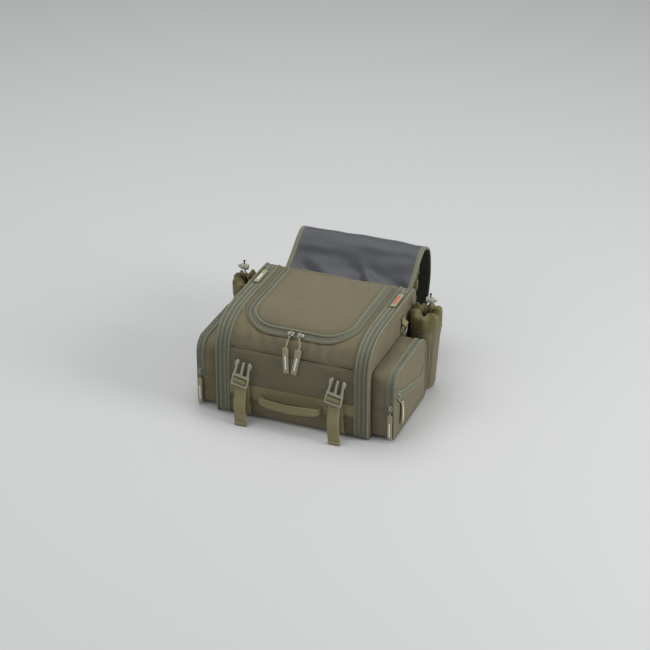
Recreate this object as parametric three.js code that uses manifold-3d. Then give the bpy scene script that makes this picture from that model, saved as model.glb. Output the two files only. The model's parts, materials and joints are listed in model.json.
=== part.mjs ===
// A soft tail bag for a motorcycle: a padded centre section with a zipped lid, a side module on each end
// that slides out when its expansion zipper is opened, and a cargo flap hung on the rear wall.
// Millimetres, +X to the bag's right, +Y to its rear, +Z up, origin at the middle of the base.
import * as THREE from "three";
import { mergeVertices } from "three/addons/utils/BufferGeometryUtils.js";
import Module from "manifold-3d";

const wasm = await Module();
wasm.setup();

// Driving dimensions of the padded body.
const DEPTH = 265;
const HEIGHT = 203;
const FRONT = -DEPTH / 2;
const REAR = DEPTH / 2;
const CENTRE_HALF = 131;
const WALL = 4;
const CORNER = 14;
const GAP = 0.3;

// Expansion zipper band, side panel and the gusset that telescopes inside the centre section.
const TAPE_SEAM = 144;
const SIDE_INNER = 154.5;
const SIDE_OUTER = 158.5;
const GUSSET_START = 58;
const GUSSET_OUTSIDE = 5;
const GUSSET_INSIDE = 7.5;

// Lid: a D shape in plan, square at the rear and rounded at the front.
const LID_HALF = 118;
const LID_FRONT = FRONT + 20;
const LID_REAR = FRONT + 248;
const LID_CORNER_X = 66;
const LID_CORNER_Y = 59;
const LID_ZIP_WIDTH = 14;
const LID_PADDING = 4;

// Side pocket, in the plane of the side panel.
const POCKET_FRONT = FRONT + 15;
const POCKET_REAR = FRONT + 199;
const POCKET_BOTTOM = 4;
const POCKET_TOP = 143;
const POCKET_OUTER = 205;
const POCKET_WALL = 2.5;
const DOOR_FOLD = 108;

// Bottle holder beside the rear corner.
const HOLDER_Y = FRONT + 238;
const HOLDER_X_TOP = 190;
const HOLDER_X_BASE = 184.5;
const HOLDER_R_TOP = 31;
const HOLDER_R_BASE = 25.5;
const HOLDER_DEEPER = 1.08;
const HOLDER_BOTTOM = 3;
const HOLDER_TOP = 140;
const HOLDER_WALL = 1.6;
const COLLAR_TOP = 186;
const COLLAR_MOUTH = 9;

// Webbing and buckles.
const WEBBING = 25;
const WEBBING_THICK = 1.4;
const STRAP_X = 97;
const BUCKLE_WIDTH = 33;
const BAR_Y = FRONT - 13;
const BAR_Z = 86;

// Flap: five stiffened panels that fold along four lines, seen from the side as (y, z) points.
const FLAP_HALF = 137;
const FLAP_THICK = 4;
const FLAP_ROOT = new THREE.Vector2(REAR + 4.5, 150);
const FLAP_PANELS = [
  { name: "flap_panel_root", length: 67, heading: 34.5 },
  { name: "flap_panel_rise", length: 80, heading: 34.5 },
  { name: "flap_panel_crown", length: 50, heading: -29.5 },
  { name: "flap_panel_drop", length: 113, heading: -100 },
  { name: "flap_panel_end", length: 58, heading: -118 },
];
const FLAP_SETBACK = 2.4;

const material = (color, roughness, metalness = 0) =>
  new THREE.MeshStandardMaterial({ color, roughness, metalness });
const MATERIALS = {
  shell: material(0x78705a, 0.8),
  lining: material(0x4b4e54, 0.6),
  tape: material(0x8c8c76, 0.75),
  webbing: material(0x7a7248, 0.8),
  collar: material(0x6b6232, 0.7),
  plastic: material(0x85856c, 0.45),
  metal: material(0x8f8f86, 0.35, 1),
  board: material(0x2c2c2c, 0.6),
  cord: material(0x2a2b22, 0.8),
};

// Solids from geometry, and back.
function solid(geometry) {
  const bare = geometry.index ? geometry.toNonIndexed() : geometry.clone();
  bare.deleteAttribute("normal");
  bare.deleteAttribute("uv");
  const merged = mergeVertices(bare, 1e-4);
  return new wasm.Manifold(
    new wasm.Mesh({
      numProp: 3,
      vertProperties: merged.attributes.position.array,
      triVerts: new Uint32Array(merged.index.array),
    }),
  );
}

function geometryOf(manifold) {
  const mesh = manifold.getMesh();
  return new THREE.BufferGeometry()
    .setAttribute("position", new THREE.BufferAttribute(mesh.vertProperties, 3))
    .setIndex(new THREE.BufferAttribute(mesh.triVerts, 1));
}

function piece(name, manifold, look) {
  const mesh = new THREE.Mesh(geometryOf(manifold), look);
  mesh.geometry.computeVertexNormals();
  mesh.name = name;
  return mesh;
}

// Extrusions of a flat shape along each axis: (y, z) along X, (x, z) along Y, (x, y) along Z.
const ALONG_X = [new THREE.Vector3(0, 1, 0), new THREE.Vector3(0, 0, 1), new THREE.Vector3(1, 0, 0)];
const ALONG_Y = [new THREE.Vector3(1, 0, 0), new THREE.Vector3(0, 0, 1), new THREE.Vector3(0, -1, 0)];
const ALONG_Z = [new THREE.Vector3(1, 0, 0), new THREE.Vector3(0, 1, 0), new THREE.Vector3(0, 0, 1)];

function extrude(axes, shape, from, to) {
  const geometry = new THREE.ExtrudeGeometry(shape, { depth: to - from, bevelEnabled: false, steps: 1 });
  geometry.translate(0, 0, from);
  return solid(geometry.applyMatrix4(new THREE.Matrix4().makeBasis(...axes)));
}

const alongX = (shape, from, to) => extrude(ALONG_X, shape, from, to);
const alongY = (shape, from, to) => extrude(ALONG_Y, shape, -to, -from);
const alongZ = (shape, from, to) => extrude(ALONG_Z, shape, from, to);

function box(low, high) {
  const size = high.map((value, i) => value - low[i]);
  const geometry = new THREE.BoxGeometry(...size);
  geometry.translate(...high.map((value, i) => (value + low[i]) / 2));
  return solid(geometry);
}

function rod(from, to, radius, sides = 16) {
  const start = new THREE.Vector3(...from);
  const end = new THREE.Vector3(...to);
  const geometry = new THREE.CylinderGeometry(radius, radius, start.distanceTo(end), sides);
  const turn = new THREE.Quaternion().setFromUnitVectors(
    new THREE.Vector3(0, 1, 0),
    end.clone().sub(start).normalize(),
  );
  geometry.applyQuaternion(turn);
  const middle = start.add(end).multiplyScalar(0.5);
  geometry.translate(middle.x, middle.y, middle.z);
  return solid(geometry);
}

// A closed outline moved inward by a distance, or outward by a negative one. Outlines run anticlockwise.
function inset(points, distance) {
  const count = points.length;
  return points.map((point, i) => {
    const before = point.clone().sub(points[(i + count - 1) % count]).normalize();
    const after = points[(i + 1) % count].clone().sub(point).normalize();
    const inward = new THREE.Vector2(-before.y - after.y, before.x + after.x).normalize();
    const spread = inward.dot(new THREE.Vector2(-before.y, before.x));
    return point.clone().addScaledVector(inward, distance / spread);
  });
}

const arc = (x, y, rx, ry, from, to, steps) =>
  new THREE.EllipseCurve(x, y, rx, ry, from, to, to < from).getPoints(steps);

function withoutRepeats(points) {
  return points.filter((point, i) => point.distanceTo(points[(i + 1) % points.length]) > 0.01);
}

// A ribbon of the given thickness whose middle follows an open line of points.
function ribbon(points, thickness) {
  const side = (sign) =>
    points.map((point, i) => {
      const before = point.clone().sub(points[Math.max(i - 1, 0)]).normalize();
      const after = points[Math.min(i + 1, points.length - 1)].clone().sub(point).normalize();
      const across = new THREE.Vector2(-before.y - after.y, before.x + after.x).normalize();
      return point.clone().addScaledVector(across, (sign * thickness) / 2);
    });
  return new THREE.Shape([...side(-1), ...side(1).reverse()]);
}

const smooth = (pairs, steps) =>
  new THREE.SplineCurve(pairs.map(([a, b]) => new THREE.Vector2(a, b))).getPoints(steps);

// The body's cross-section: an upright front that rounds over into a level top.
const bodyOutline = withoutRepeats([
  ...arc(REAR - CORNER, CORNER, CORNER, CORNER, -Math.PI / 2, 0, 4),
  ...arc(REAR - CORNER, HEIGHT - CORNER, CORNER, CORNER, 0, Math.PI / 2, 4),
  ...new THREE.CubicBezierCurve(
    new THREE.Vector2(FRONT + 100, HEIGHT),
    new THREE.Vector2(FRONT + 18, HEIGHT - 2),
    new THREE.Vector2(FRONT + 1, HEIGHT - 31),
    new THREE.Vector2(FRONT, HEIGHT - 78),
  ).getPoints(12),
  ...arc(FRONT + CORNER, CORNER, CORNER, CORNER, Math.PI, Math.PI * 1.5, 4),
]);

const BELOW_BASE = box([-SIDE_INNER, FRONT - 5, -5], [SIDE_INNER, REAR + 5, GAP]);

function ring(from, to, outside, inside) {
  const shape = new THREE.Shape(inset(bodyOutline, outside));
  shape.holes.push(new THREE.Path(inset(bodyOutline, inside)));
  return alongX(shape, from, to);
}

// The lid's outline in plan, moved inward by a distance except along its straight rear edge.
function lidPlan(distance) {
  const half = LID_HALF - distance;
  const front = LID_FRONT + distance;
  const rx = LID_CORNER_X - distance;
  const ry = LID_CORNER_Y - distance;
  return new THREE.Shape([
    new THREE.Vector2(half, LID_REAR),
    new THREE.Vector2(-half, LID_REAR),
    ...arc(rx - half, front + ry, rx, ry, Math.PI, Math.PI * 1.5, 8),
    ...arc(half - rx, front + ry, rx, ry, Math.PI * 1.5, Math.PI * 2, 8),
  ]);
}

const lidPrism = (distance) => alongZ(lidPlan(distance), HEIGHT / 2, HEIGHT * 1.2);

function mainShell() {
  const half = LID_HALF + GAP;
  const rearEdge = box([-half, LID_REAR - 1, HEIGHT / 2], [half, LID_REAR + GAP, HEIGHT * 1.2]);
  return ring(-CENTRE_HALF, CENTRE_HALF, 0, WALL).subtract(lidPrism(-GAP).add(rearEdge));
}

const baseBoard = () => box([-122, FRONT + 15, 8.5], [122, REAR - 15, 11.5]);

// Zipper tape along the body's surface, standing a little proud of it.
const TAPE_PROUD = 1.2;
const TAPE_SUNK = 1;

const tape = (from, to) => ring(from, to, -TAPE_PROUD, TAPE_SUNK);
const bandTape = (from, to) => tape(from, to).subtract(BELOW_BASE);

const openingTape = () => tape(-CENTRE_HALF, CENTRE_HALF).intersect(
  lidPrism(0).subtract(lidPrism(LID_ZIP_WIDTH / 2 - GAP / 2)),
);

const lidTape = () => tape(-CENTRE_HALF, CENTRE_HALF).intersect(
  lidPrism(LID_ZIP_WIDTH / 2 + GAP / 2).subtract(lidPrism(LID_ZIP_WIDTH)),
);

const lidPanel = () => ring(-CENTRE_HALF, CENTRE_HALF, -LID_PADDING, WALL).intersect(
  lidPrism(LID_ZIP_WIDTH + GAP),
);

// A point of the body's upper surface at a given y, with the slope there.
function surfaceAt(y) {
  const upper = bodyOutline.filter((point) => point.y > HEIGHT / 2).sort((a, b) => a.x - b.x);
  const next = upper.findIndex((point) => point.x > y);
  const low = upper[next - 1];
  const high = upper[next];
  const slope = (high.y - low.y) / (high.x - low.x);
  return { z: low.y + slope * (y - low.x), angle: Math.atan(slope) };
}

// Zipper slider: a shoe whose wide mouth points along +X, with a bridge on top that a pull's pin goes through.
// The bridge runs along the shoe, or across it where the pull hangs sideways.
const SHOE_HEIGHT = 2.8;
const PIN_HEIGHT = 4;
const PIN_R = 0.6;

function sliderShoe(bridgeAcross) {
  const plan = [[-7, -3.2], [3, -4.6], [7, -4.2], [7, 4.2], [3, 4.6], [-7, 3.2]];
  const bridge = [[-4.5, SHOE_HEIGHT - 0.3], [4.5, SHOE_HEIGHT - 0.3], [3, 6], [-3, 6]];
  const eye = [[-2, SHOE_HEIGHT + 0.2], [-2, 5.1], [2, 5.1], [2, SHOE_HEIGHT + 0.2]];
  const arch = new THREE.Shape(bridge.map(([x, z]) => new THREE.Vector2(x, z)));
  arch.holes.push(new THREE.Path(eye.map(([x, z]) => new THREE.Vector2(x, z))));
  const extruded = bridgeAcross ? alongX(arch, -1.4, 1.4) : alongY(arch, -1.4, 1.4);
  return alongZ(new THREE.Shape(plan.map(([x, y]) => new THREE.Vector2(x, y))), 0, SHOE_HEIGHT).add(extruded);
}

// Zipper pull with its pin along X at the origin: two arms past the bridge, then a cord, then a webbing tab.
// The route is in the (y, z) plane and its first point is where the arms end.
const ARM_REACH = 8.5;

function pull(tabWidth, route, tabFrom) {
  const arm = ribbon([new THREE.Vector2(0, 0), route[0]], 1.2);
  const end = route[0];
  return alongX(arm, 1.9, 3.1)
    .add(alongX(arm, -3.1, -1.9))
    .add(rod([-3.1, 0, 0], [3.1, 0, 0], PIN_R, 10))
    .add(rod([-3.1, end.x, end.y], [3.1, end.x, end.y], 1, 10))
    .add(alongX(ribbon(route, 1.6), -1.3, 1.3))
    .add(alongX(ribbon(route.slice(tabFrom), 2), -tabWidth / 2, tabWidth / 2));
}

const straightPull = (cordLength, tabLength, tabWidth) =>
  pull(tabWidth, [ARM_REACH, cordLength, cordLength + tabLength].map((d) => new THREE.Vector2(0, -d)), 1);

function placed(name, manifold, look, position) {
  const mesh = piece(name, manifold, look);
  mesh.position.set(...position);
  return mesh;
}

// Places a piece whose own X and Z axes point along the two directions given.
function turned(name, manifold, look, position, xAxis, zAxis) {
  const mesh = placed(name, manifold, look, position);
  const x = new THREE.Vector3(...xAxis);
  const z = new THREE.Vector3(...zAxis);
  mesh.quaternion.setFromRotationMatrix(new THREE.Matrix4().makeBasis(x, z.clone().cross(x), z));
  return mesh;
}

// Lid sliders meet at the middle of the front of the zipper, and their pulls hang down the front.
const SLIDER_LIFT = 1.6;
const LID_SLIDER_Y = LID_FRONT + LID_ZIP_WIDTH / 2;
const LID_SLIDER_X = 10;

// A point above the lid zipper's middle, at a height over the surface.
function overLidZip(height) {
  const surface = surfaceAt(LID_SLIDER_Y);
  return {
    y: LID_SLIDER_Y - height * Math.sin(surface.angle),
    z: surface.z + height * Math.cos(surface.angle),
    angle: surface.angle,
  };
}

function lidSlider(side, sign) {
  const seat = overLidZip(SLIDER_LIFT);
  const up = [0, -Math.sin(seat.angle), Math.cos(seat.angle)];
  const at = [sign * LID_SLIDER_X, seat.y, seat.z];
  return turned("lid_slider_" + side, sliderShoe(true), MATERIALS.metal, at, [-sign, 0, 0], up);
}

function lidPull(side, sign) {
  const pin = overLidZip(SLIDER_LIFT + PIN_HEIGHT);
  const route = [
    [-7.5, -4],
    [FRONT + 9.5 - pin.y, 174.5 - pin.z],
    [FRONT - 2, 151],
    [FRONT - 4, 110],
  ].map(([y, z], i) => (i < 2 ? new THREE.Vector2(y, z) : new THREE.Vector2(y - pin.y, z - pin.z)));
  return placed("lid_pull_" + side, pull(12, route, 2), MATERIALS.webbing, [sign * LID_SLIDER_X, pin.y, pin.z]);
}

// Grab handle: a folded webbing loop that stands off the front and narrows where it is sewn down.
const HANDLE_Z = 51;
const HANDLE_ROOT_Y = FRONT - 6;

function grabHandle() {
  const path = smooth(
    [
      [-61, HANDLE_ROOT_Y],
      [-53, FRONT - 15],
      [-38, FRONT - 20],
      [0, FRONT - 23],
      [38, FRONT - 20],
      [53, FRONT - 15],
      [61, HANDLE_ROOT_Y],
    ],
    20,
  );
  const front = new THREE.Shape(
    [[-63, -3], [-46, -11], [46, -11], [63, -3], [63, 3], [46, 11], [-46, 11], [-63, 3]].map(
      ([x, z]) => new THREE.Vector2(x, HANDLE_Z + z),
    ),
  );
  return alongZ(ribbon(path, 3), HANDLE_Z - 11, HANDLE_Z + 11).intersect(alongY(front, FRONT - 30, FRONT));
}

const frontWebbing = () => box([-130, FRONT - 1.6, 46], [130, FRONT - GAP, 75]);

// Front strap: webbing rises from the base seam, goes over the buckle's centre bar from behind and hangs
// down in front to a folded hem on the ground.
function frontStrap(side, x) {
  const rise = smooth([[FRONT - 2, 7], [FRONT - 4, 25], [FRONT - 4, 60], [FRONT - 4.2, BAR_Z - 6]], 8);
  const wrap = [[5.6, 2], [2.6, 3.7], [0, 4.1], [-2.8, 3], [-4.3, 0], [-4.8, -5]].map(
    ([y, z]) => new THREE.Vector2(BAR_Y + y, BAR_Z + z),
  );
  const hang = smooth(
    [[BAR_Y - 5.4, BAR_Z - 14], [BAR_Y - 9, BAR_Z - 28], [FRONT - 28, 40], [FRONT - 32, 20], [FRONT - 36, 5]],
    10,
  );
  const hem = box([-WEBBING / 2, FRONT - 39, 0.8], [WEBBING / 2, FRONT - 34, 7]);
  const strap = alongX(ribbon([...rise, ...wrap, ...hang], WEBBING_THICK), -WEBBING / 2, WEBBING / 2).add(hem);
  return placed("strap_" + side, strap, MATERIALS.webbing, [x, 0, 0]);
}

// Male side-release buckle with a ladder lock: three prongs above two webbing slots, about its centre bar.
function maleBuckle() {
  const half = BUCKLE_WIDTH / 2;
  const frame = new THREE.Shape(
    [[-half, -10.5], [half, -10.5], [half, 13], [-half, 13]].map(([a, b]) => new THREE.Vector2(a, b)),
  );
  const slotHalf = WEBBING / 2 + 1.2;
  for (const [low, high] of [[-7.6, -1.6], [1.6, 8.2]]) {
    const slot = [[-slotHalf, low], [-slotHalf, high], [slotHalf, high], [slotHalf, low]];
    frame.holes.push(new THREE.Path(slot.map(([a, b]) => new THREE.Vector2(a, b))));
  }
  const prong = (sign) => {
    const arm = new THREE.Shape(
      [[12.4, 12.5], [15.8, 12.5], [14.2, 30], [16.2, 36], [14.6, 43], [11.2, 45.5], [10.4, 43], [11.4, 30]].map(
        ([a, b]) => new THREE.Vector2(sign * a, b),
      ),
    );
    return alongY(arm, -2.2, 2.2);
  };
  const guide = new THREE.Shape(
    [[-2.4, 12.5], [2.4, 12.5], [1.6, 43], [-1.6, 43]].map(([a, b]) => new THREE.Vector2(a, b)),
  );
  return alongY(frame, -2.2, 2.2).add(prong(1)).add(prong(-1)).add(alongY(guide, -1.6, 1.6));
}

const maleBucklePlaced = (side, x) =>
  placed("buckle_male_" + side, maleBuckle(), MATERIALS.plastic, [x, BAR_Y, BAR_Z]);

// Flap panels as flat plates between fold points; the last one carries the two webbing loops.
function flapPoints() {
  const points = [FLAP_ROOT.clone()];
  for (const panel of FLAP_PANELS) {
    const angle = THREE.MathUtils.degToRad(panel.heading);
    const step = new THREE.Vector2(Math.cos(angle), Math.sin(angle)).multiplyScalar(panel.length);
    points.push(points.at(-1).clone().add(step));
  }
  return points;
}

const LOOP_OUTER = 4.4;
const LOOP_INNER = 3;
const LOOP_NECK = 3;
const LOOP_SETBACK = 6.4;
const FEMALE_BAR = 2.4;

function flapPanels() {
  const points = flapPoints();
  return FLAP_PANELS.map((panel, i) => {
    const along = points[i + 1].clone().sub(points[i]).normalize();
    const start = points[i].clone().addScaledVector(along, i === 0 ? 0 : FLAP_SETBACK);
    const last = i === FLAP_PANELS.length - 1;
    const end = points[i + 1].clone().addScaledVector(along, last ? -LOOP_SETBACK : -FLAP_SETBACK);
    let plate = alongX(ribbon([start, end], FLAP_THICK), -FLAP_HALF, FLAP_HALF);
    if (last) {
      const eye = points[i + 1];
      for (const x of [-STRAP_X, STRAP_X]) {
        const [from, to] = [x - WEBBING / 2, x + WEBBING / 2];
        const loop = rod([from, eye.x, eye.y], [to, eye.x, eye.y], LOOP_OUTER);
        const neck = alongX(ribbon([end.clone().addScaledVector(along, -1), eye], LOOP_NECK), from, to);
        plate = plate.add(loop).add(neck);
      }
      plate = plate.subtract(rod([-FLAP_HALF, eye.x, eye.y], [FLAP_HALF, eye.x, eye.y], LOOP_INNER));
    }
    return piece(panel.name, plate, MATERIALS.shell);
  });
}

// Female buckle: an open-mouthed shell with a webbing bar at its top, hanging from the bar.
function femaleBuckle() {
  const half = BUCKLE_WIDTH / 2;
  const shell = box([-half, -5.5, -35], [half, 5.5, -7]).subtract(box([-13.5, -3, -36], [13.5, 3, -11]));
  const cheek = (x) => box([x - 1.6, -3.4, -8], [x + 1.6, 3.4, 3.4]);
  const bar = rod([-half, 0, 0], [half, 0, 0], FEMALE_BAR);
  return shell.add(cheek(half - 1.6)).add(cheek(1.6 - half)).add(bar);
}

function femaleBucklePlaced(side, x) {
  const eye = flapPoints().at(-1);
  return placed("buckle_female_" + side, femaleBuckle(), MATERIALS.plastic, [x, eye.x, eye.y]);
}

// Everything on one side module, in the right side's coordinates.
const pocketOutline = withoutRepeats([
  ...arc(POCKET_REAR - 10, POCKET_BOTTOM + 10, 10, 10, -Math.PI / 2, 0, 3),
  ...arc(POCKET_REAR - 38, POCKET_TOP - 38, 38, 38, 0, Math.PI / 2, 6),
  ...arc(POCKET_FRONT + 28, POCKET_TOP - 28, 28, 28, Math.PI / 2, Math.PI, 5),
  ...arc(POCKET_FRONT + 10, POCKET_BOTTOM + 10, 10, 10, Math.PI, Math.PI * 1.5, 3),
]);

function pocketSolid(from, to, distance) {
  return alongX(new THREE.Shape(inset(pocketOutline, distance)), from, to);
}

const aboveFold = (z, from) => box([from, FRONT, z], [POCKET_OUTER + 5, REAR, HEIGHT]);

function pocketShell() {
  const inside = pocketSolid(SIDE_OUTER + GAP + POCKET_WALL, POCKET_OUTER - POCKET_WALL, POCKET_WALL);
  return pocketSolid(SIDE_OUTER + GAP, POCKET_OUTER, 0)
    .subtract(inside)
    .subtract(aboveFold(DOOR_FOLD - GAP, POCKET_OUTER - POCKET_WALL - GAP));
}

const pocketDoor = () =>
  pocketSolid(POCKET_OUTER - POCKET_WALL, POCKET_OUTER, 0).intersect(aboveFold(DOOR_FOLD, SIDE_OUTER));

// A lathe about Z whose axis leans outward as it rises, as the holder's side does.
function leaningLathe(profile) {
  const geometry = new THREE.LatheGeometry(profile.map(([r, z]) => new THREE.Vector2(r, z)), 24);
  geometry.rotateX(Math.PI / 2);
  const lean = (HOLDER_X_TOP - HOLDER_X_BASE) / (HOLDER_TOP - HOLDER_BOTTOM);
  const shear = new THREE.Matrix4().makeShear(0, 0, 0, 0, lean, 0);
  shear.setPosition(HOLDER_X_BASE - lean * HOLDER_BOTTOM, HOLDER_Y, 0);
  geometry.scale(1, HOLDER_DEEPER, 1);
  return solid(geometry.applyMatrix4(shear));
}

const bottleHolder = () => leaningLathe([
  [0, HOLDER_BOTTOM],
  [HOLDER_R_BASE, HOLDER_BOTTOM],
  [HOLDER_R_TOP, HOLDER_TOP],
  [HOLDER_R_TOP - HOLDER_WALL, HOLDER_TOP],
  [HOLDER_R_BASE - HOLDER_WALL, HOLDER_BOTTOM + 2],
  [0, HOLDER_BOTTOM + 2],
]);

const holderCollar = () => leaningLathe([
  [HOLDER_R_TOP - 0.2, HOLDER_TOP + GAP],
  [HOLDER_R_TOP - 1.8, 166],
  [25, 179],
  [COLLAR_MOUTH, COLLAR_TOP],
  [COLLAR_MOUTH, COLLAR_TOP - 3],
  [24, 176.5],
  [HOLDER_R_TOP - 3.6, 165],
  [HOLDER_R_TOP - 1.8, HOLDER_TOP + GAP],
  [HOLDER_R_TOP - 0.2, HOLDER_TOP + GAP],
]);

// Drawcord: up through the gathered mouth and the lock, with a knot above it.
const LOCK_X = 198.5;
const LOCK_Z = 197;
const LOCK_R = 5.2;
const CORD_R = 1.3;

function drawcord() {
  const start = [LOCK_X, HOLDER_Y, COLLAR_TOP - 4];
  const knot = new THREE.SphereGeometry(2.8, 12, 8);
  knot.translate(LOCK_X, HOLDER_Y, LOCK_Z + 14);
  return rod(start, [LOCK_X, HOLDER_Y, LOCK_Z + 14], CORD_R, 10).add(solid(knot));
}

function cordLock() {
  const barrel = rod([LOCK_X - 9, HOLDER_Y, LOCK_Z], [LOCK_X + 9, HOLDER_Y, LOCK_Z], LOCK_R);
  const hole = rod([LOCK_X, HOLDER_Y, LOCK_Z - 8], [LOCK_X, HOLDER_Y, LOCK_Z + 8], CORD_R + 0.4, 12);
  const bore = rod([LOCK_X + 4, HOLDER_Y, LOCK_Z], [LOCK_X + 10, HOLDER_Y, LOCK_Z], 3.6);
  return barrel.subtract(hole).subtract(bore);
}

const cordButton = () => rod([LOCK_X + 7.6, HOLDER_Y, LOCK_Z], [LOCK_X + 13, HOLDER_Y, LOCK_Z], 3.3);

// D-ring on a webbing loop at the top of the side panel. The ring hangs flat against the panel.
const RING_Y = FRONT + 188;
const RING_X = SIDE_OUTER + 5;
const RING_Z = 161;
const RING_DROP = 8;

function ringHolder() {
  const tabLow = [SIDE_OUTER + GAP, RING_Y - 9.5, RING_Z - 1];
  const tab = box(tabLow, [SIDE_OUTER + 2.2, RING_Y + 9.5, RING_Z + 16]);
  const loop = rod([RING_X, RING_Y - 9.5, RING_Z], [RING_X, RING_Y + 9.5, RING_Z], 4.2);
  const eye = rod([RING_X, RING_Y - 12, RING_Z], [RING_X, RING_Y + 12, RING_Z], 2.7);
  const bridge = box([SIDE_OUTER + GAP, RING_Y - 9.5, RING_Z], [RING_X, RING_Y + 9.5, RING_Z + 4.2]);
  return tab.add(loop).add(bridge).subtract(eye);
}

function dRing() {
  const outer = new THREE.Shape([
    new THREE.Vector2(RING_Y - 14, RING_Z + 1.8),
    ...arc(RING_Y, RING_Z - RING_DROP, 14, 15, Math.PI, Math.PI * 2, 12),
    new THREE.Vector2(RING_Y + 14, RING_Z + 1.8),
  ]);
  outer.holes.push(
    new THREE.Path([
      new THREE.Vector2(RING_Y - 10.6, RING_Z - 1.8),
      new THREE.Vector2(RING_Y + 10.6, RING_Z - 1.8),
      ...arc(RING_Y, RING_Z - RING_DROP, 10.6, 11.6, 0, -Math.PI, 12),
    ]),
  );
  return alongX(outer, RING_X - 1.6, RING_X + 1.6);
}

// Places of the three zippers' sliders on a side module.
const EXPANDER_SLIDER = [TAPE_SEAM, FRONT + 232, HEIGHT + SLIDER_LIFT];
const POCKET_SLIDER = [198, POCKET_FRONT - GAP, 74];
const FLAT_SLIDER = [POCKET_OUTER + GAP, FRONT + 29, 97];

// The flat zipper's pull hangs in the plane of the pocket's face, behind its slider's pin.
function flatPull() {
  const hang = (points, width) => {
    const route = points.map(([y, z]) => new THREE.Vector2(y, z));
    return alongX(ribbon(route, width), -0.9, 0.9);
  };
  return rod([0, -3.1, 0], [0, 3.1, 0], PIN_R, 10)
    .add(box([-0.6, -3.1, -9], [0.6, -1.9, 0]))
    .add(box([-0.6, 1.9, -9], [0.6, 3.1, 0]))
    .add(box([-0.9, -3.1, -10.2], [0.9, 3.1, -8]))
    .add(hang([[0, -9], [2, -14], [24, -27]], 2.6))
    .add(hang([[24, -24], [21, -73]], 10));
}

function sideModule(side, sign) {
  const name = (part) => part + "_" + side;
  const module = new THREE.Group();
  module.scale.x = sign;
  const [expanderX, expanderY, expanderZ] = EXPANDER_SLIDER;
  const [pocketX, pocketY, pocketZ] = POCKET_SLIDER;
  const [flatX, flatY, flatZ] = FLAT_SLIDER;
  module.add(
    piece(name("side_panel"), alongX(new THREE.Shape(bodyOutline), SIDE_INNER, SIDE_OUTER), MATERIALS.shell),
    piece(
      name("gusset"),
      ring(GUSSET_START, SIDE_INNER - GAP, GUSSET_OUTSIDE, GUSSET_INSIDE),
      MATERIALS.shell,
    ),
    piece(name("zip_tape_outer"), bandTape(TAPE_SEAM + GAP / 2, SIDE_INNER - GAP), MATERIALS.tape),
    turned(
      name("expander_slider"),
      sliderShoe(false),
      MATERIALS.metal,
      EXPANDER_SLIDER,
      [0, 1, 0],
      [0, 0, 1],
    ),
    turned(
      name("expander_pull"),
      straightPull(12, 54, 11),
      MATERIALS.webbing,
      [expanderX, expanderY, expanderZ + PIN_HEIGHT],
      [1, 0, 0],
      [0, 1, 0],
    ),
    piece(name("pocket_shell"), pocketShell(), MATERIALS.shell),
    piece(name("pocket_door"), pocketDoor(), MATERIALS.shell),
    turned(name("pocket_slider"), sliderShoe(false), MATERIALS.metal, POCKET_SLIDER, [0, 0, -1], [0, -1, 0]),
    placed(
      name("pocket_pull"),
      straightPull(14, 56, 10),
      MATERIALS.webbing,
      [pocketX, pocketY - PIN_HEIGHT, pocketZ],
    ),
    turned(name("flat_slider"), sliderShoe(true), MATERIALS.metal, FLAT_SLIDER, [0, -1, 0], [1, 0, 0]),
    placed(name("flat_pull"), flatPull(), MATERIALS.webbing, [flatX + PIN_HEIGHT, flatY, flatZ]),
    piece(name("bottle_holder"), bottleHolder(), MATERIALS.shell),
    piece(name("holder_collar"), holderCollar(), MATERIALS.collar),
    piece(name("drawcord"), drawcord(), MATERIALS.cord),
    piece(name("cord_lock"), cordLock(), MATERIALS.plastic),
    piece(name("cord_button"), cordButton(), MATERIALS.plastic),
    piece(name("ring_loop"), ringHolder(), MATERIALS.webbing),
    piece(name("d_ring"), dRing(), MATERIALS.metal),
  );
  return module;
}

const bag = new THREE.Group();
bag.add(
  piece("main_shell", mainShell(), MATERIALS.shell),
  piece("base_board", baseBoard(), MATERIALS.board),
  piece("zip_tape_opening", openingTape(), MATERIALS.tape),
  piece("zip_tape_inner_left", bandTape(-TAPE_SEAM + GAP / 2, -CENTRE_HALF - GAP), MATERIALS.tape),
  piece("zip_tape_inner_right", bandTape(CENTRE_HALF + GAP, TAPE_SEAM - GAP / 2), MATERIALS.tape),
  piece("front_webbing", frontWebbing(), MATERIALS.webbing),
  piece("grab_handle", grabHandle(), MATERIALS.webbing),
  piece("lid_panel", lidPanel(), MATERIALS.shell),
  piece("zip_tape_lid", lidTape(), MATERIALS.tape),
  ...flapPanels(),
);
for (const [side, sign] of [["left", -1], ["right", 1]]) {
  bag.add(
    lidSlider(side, sign),
    lidPull(side, sign),
    frontStrap(side, sign * STRAP_X),
    maleBucklePlaced(side, sign * STRAP_X),
    femaleBucklePlaced(side, sign * STRAP_X),
    sideModule(side, sign),
  );
}

export default bag;
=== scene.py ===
"""A soft expandable tail bag for a motorcycle, built as an add-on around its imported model.

Each operator makes one piece or one group of like pieces, in metres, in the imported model's own frame:
+X to the bag's right, +Y to its rear, +Z up, with the origin at the middle of the base.
"""
import json
import math
from contextlib import contextmanager

import bmesh
import bpy
import numpy as np
from bpy.props import FloatProperty, FloatVectorProperty, IntProperty, PointerProperty
from mathutils import Matrix, Vector, noise
from mathutils.bvhtree import BVHTree


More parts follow.
